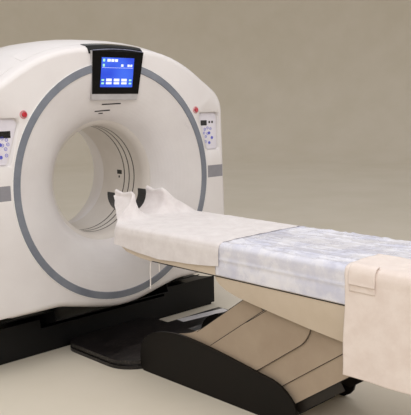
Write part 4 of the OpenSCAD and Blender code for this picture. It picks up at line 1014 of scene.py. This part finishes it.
# Flap of the foot sheet
# The foot sheet's top corner on the near side is turned back on itself twice, and makes a
# thick soft flap of the same cotton over the table's edge.
FLAP_COLUMNS, FLAP_ROWS = 30, 26
INNER_T, OUTER_T = 0.0022, 0.0040
INNER_LINE = [
    # x and z from the inner flap's lower edge to its fold on top
    (-0.332, 0.768), (-0.3330, 0.795), (-0.3325, 0.830), (-0.3300, 0.852), (-0.3215, 0.8685),
    (-0.300, 0.8775),
]
OUTER_LINE = [
    # the same for the outer flap, over the inner one
    (-0.3385, 0.797), (-0.3372, 0.806), (-0.3362, 0.832), (-0.3335, 0.855), (-0.3240, 0.8728),
    (-0.301, 0.8812),
]
flap_rows = []
for k, y in enumerate(np.linspace(-2.412, -2.536, FLAP_ROWS)):
    inner = spline(INNER_LINE, FLAP_COLUMNS)
    flap_rows.append([(x - 0.0004 * math.sin(k), y + 0.003 * (z - 0.8) * k / 12, z) for x, z in inner])
flap = cloth_piece("foot_flap_inner", flap_rows, cotton, INNER_T)
over_rows = [
    [(x, y, z) for x, z in spline(OUTER_LINE, FLAP_COLUMNS)] for y in np.linspace(-2.409, -2.539, FLAP_ROWS)
]
over_flap = cloth_piece("foot_flap", over_rows, cotton, OUTER_T)
for piece in (flap, over_flap):
    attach(piece, "tabletop")

# Towel
# A towel over the head end: it lines the head trough, rises over the rims of the holder,
# falls from them to the table's corners and hangs down both sides. It is white terry, with
# a matt pile that is brightest where the light grazes it.
TOWEL_HEAD, TOWEL_TOP, TOWEL_T = -0.540, 0.8672, 0.0022
TOWEL_ROWS, TOWEL_COLUMNS = 150, 180
LINING_R = 0.1115
TROUGH_Z = 0.983
HOLDER_EDGE = np.array((-0.1270, 0.986))
HEM_LINE = np.array([
    # y, hem x, hem z, rim height, share of the hood's form
    (-0.540, -0.1360, 0.986, 1.0220, 1.0), (-0.575, -0.1560, 0.964, 1.0120, 1.0),
    (-0.608, -0.1800, 0.938, 1.0050, 1.0), (-0.650, -0.2050, 0.908, 1.0130, 1.0),
    (-0.687, -0.2280, 0.882, 1.0190, 1.0), (-0.712, -0.2450, 0.862, 1.0120, 0.97),
    (-0.742, -0.2680, 0.832, 0.9850, 0.62), (-0.766, -0.3080, 0.780, 0.9600, 0.26),
    (-0.785, -0.3300, 0.751, 0.9400, 0.06), (-0.810, -0.3305, 0.748, 0.9300, 0.0),
    (-0.847, -0.3300, 0.748, 0.9300, 0.0), (-0.920, -0.3298, 0.737, 0.9300, 0.0),
    (-0.994, -0.3300, 0.729, 0.9300, 0.0), (-1.164, -0.3306, 0.719, 0.9300, 0.0),
    (-1.330, -0.3300, 0.725, 0.9300, 0.0), (-1.497, -0.3300, 0.736, 0.9300, 0.0),
    (TOWEL_END, -0.3296, 0.751, 0.9300, 0.0),
])


def towel_half(hem_x, hem_z, rim_z, hood):
    """Half of the towel's line across the table, from its hem to the middle."""
    hem = np.array((hem_x, hem_z))
    turns = np.radians((88, 60, 36, 16, 0))
    lining = [(-LINING_R * math.sin(a), TROUGH_Z - LINING_R * math.cos(a)) for a in turns]
    raised = [
        hem, hem * 0.65 + HOLDER_EDGE * 0.35, hem * 0.3 + HOLDER_EDGE * 0.7, HOLDER_EDGE,
        (-0.1255, rim_z - 0.004), (-0.1180, rim_z), (-0.1120, rim_z - 0.006), *lining,
    ]
    flat = [
        hem, (-0.3292, 0.79), (-0.3284, 0.832), (-0.3215, 0.8530), (-0.3050, 0.8622), (-0.262, 0.8650),
        (-0.210, TOWEL_TOP), *((x, TOWEL_TOP) for x in (-0.165, -0.120, -0.080, -0.040, 0.0)),
    ]
    return hood * np.array(raised) + (1 - hood) * np.array(flat)


towel_rows = []
for y in np.linspace(TOWEL_HEAD, TOWEL_END, TOWEL_ROWS):
    hem_x, hem_z, rim_z, hood = (float(np.interp(-y, -HEM_LINE[:, 0], HEM_LINE[:, k])) for k in (1, 2, 3, 4))
    half = towel_half(hem_x, hem_z, rim_z, hood)
    line = spline(np.vstack([half, (half * (-1, 1))[::-1][1:]]), TOWEL_COLUMNS)
    row = []
    for k, (x, z) in enumerate(line):
        near_hem = smooth_step(abs(k / (TOWEL_COLUMNS - 1) - 0.5), 0.34, 0.5)
        top = smooth_step(z, 0.855, 0.866) * (1 - hood)
        fold = wave(y * 9 + x * 2, z * 7, 2.0) + 0.5 * wave(y * 22, z * 16 + x * 8, 6.0)
        gather = 0.0035 * hood * near_hem * abs(math.sin(y * 42 + z * 9))
        out = near_hem * 0.004 * (0.5 + 0.5 * fold) + gather
        rise = top * (0.0022 * crumple(x, y, 7.0, 1.5) + 0.001 * crumple(x, y, 17.0, 4.5))
        hem_wave = near_hem * (1 - hood) * 0.003 * wave(y * 8, 3.0 + (x > 0), 9.0)
        row.append((x + math.copysign(out, x), y, z + rise + hem_wave))
    towel_rows.append(row)
terry = woven("terry_cotton", ("e0d9d8", "ebe5e4"), 1.6, 0.3, 0.9, 0.45)
towel = cloth_piece("terry_towel", towel_rows, terry, TOWEL_T)

# Hanging sides of the towel
# The towel is one cloth. Its two hanging sides are cut off here along a slanting plane at
# the pad's edges, as pieces of their own that ride with the cradle.
PAD_EDGE, DRAPE_TURN = (0.210, 0.867), math.radians(51)


def cut_cloth(piece, side, keep_outside):
    """Cuts a piece with the plane on one side and keeps what is outside or inside of it."""
    pick(piece, "FACE", lambda middle, normal: True)
    bpy.ops.mesh.bisect(
        plane_co=(side * PAD_EDGE[0], 0, PAD_EDGE[1]),
        plane_no=(side * math.cos(DRAPE_TURN), 0, -math.sin(DRAPE_TURN)),
        use_fill=True, clear_inner=keep_outside, clear_outer=not keep_outside,
    )
    bpy.ops.object.mode_set(mode="OBJECT")
    bpy.ops.object.shade_smooth_by_angle(angle=math.radians(50))


drapes = []
for side, name in ((-1, "towel_drape_left"), (1, "towel_drape_right")):
    drape = bpy.data.objects.new(name, towel.data.copy())
    bpy.context.scene.collection.objects.link(drape)
    cut_cloth(drape, side, True)
    drapes.append(drape)
for side in (-1, 1):
    cut_cloth(towel, side, False)
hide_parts("head_sheet")
for piece in (towel, *drapes):
    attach(piece, "cradle_body")
for side, drape in zip((-1, 1), drapes):
    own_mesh(drape)

# Tie tapes
# Two woven cotton tapes that hold the covering hang loose under the table's near side.
# They are thin and white, with a fine rib across.
TAPE_X, TAPE_HALF_W, TAPE_T, TAPE_ROWS = -0.3000, 0.005, 0.0008, 40
TAPES = (
    # number, and the y and z of its upper and its lower end
    (1, -1.072, -1.062, 0.6915, 0.529),
    (2, -1.146, -1.142, 0.6905, 0.640),
)
tape_mat = woven("tape_weave", ("e8e2df", "f2edea"), 0.9, 0.05, 0.8, 0.2)
for number, at_y, low_y, top_z, low_z in TAPES:
    tape_rows = []
    for s in np.linspace(0, 1, TAPE_ROWS):
        y = at_y + (low_y - at_y) * s + 0.0015 * math.sin(s * 7)
        z = top_z + (low_z - top_z) * s
        x = TAPE_X - 0.003 * math.sin(s * 3)
        tape_rows.append([(x, y + TAPE_HALF_W, z), (x - 0.0003, y, z), (x, y - TAPE_HALF_W, z)])
    tape = cloth_piece(f"tie_tape_{number}", tape_rows, tape_mat, TAPE_T)
    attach(tape, "tabletop")
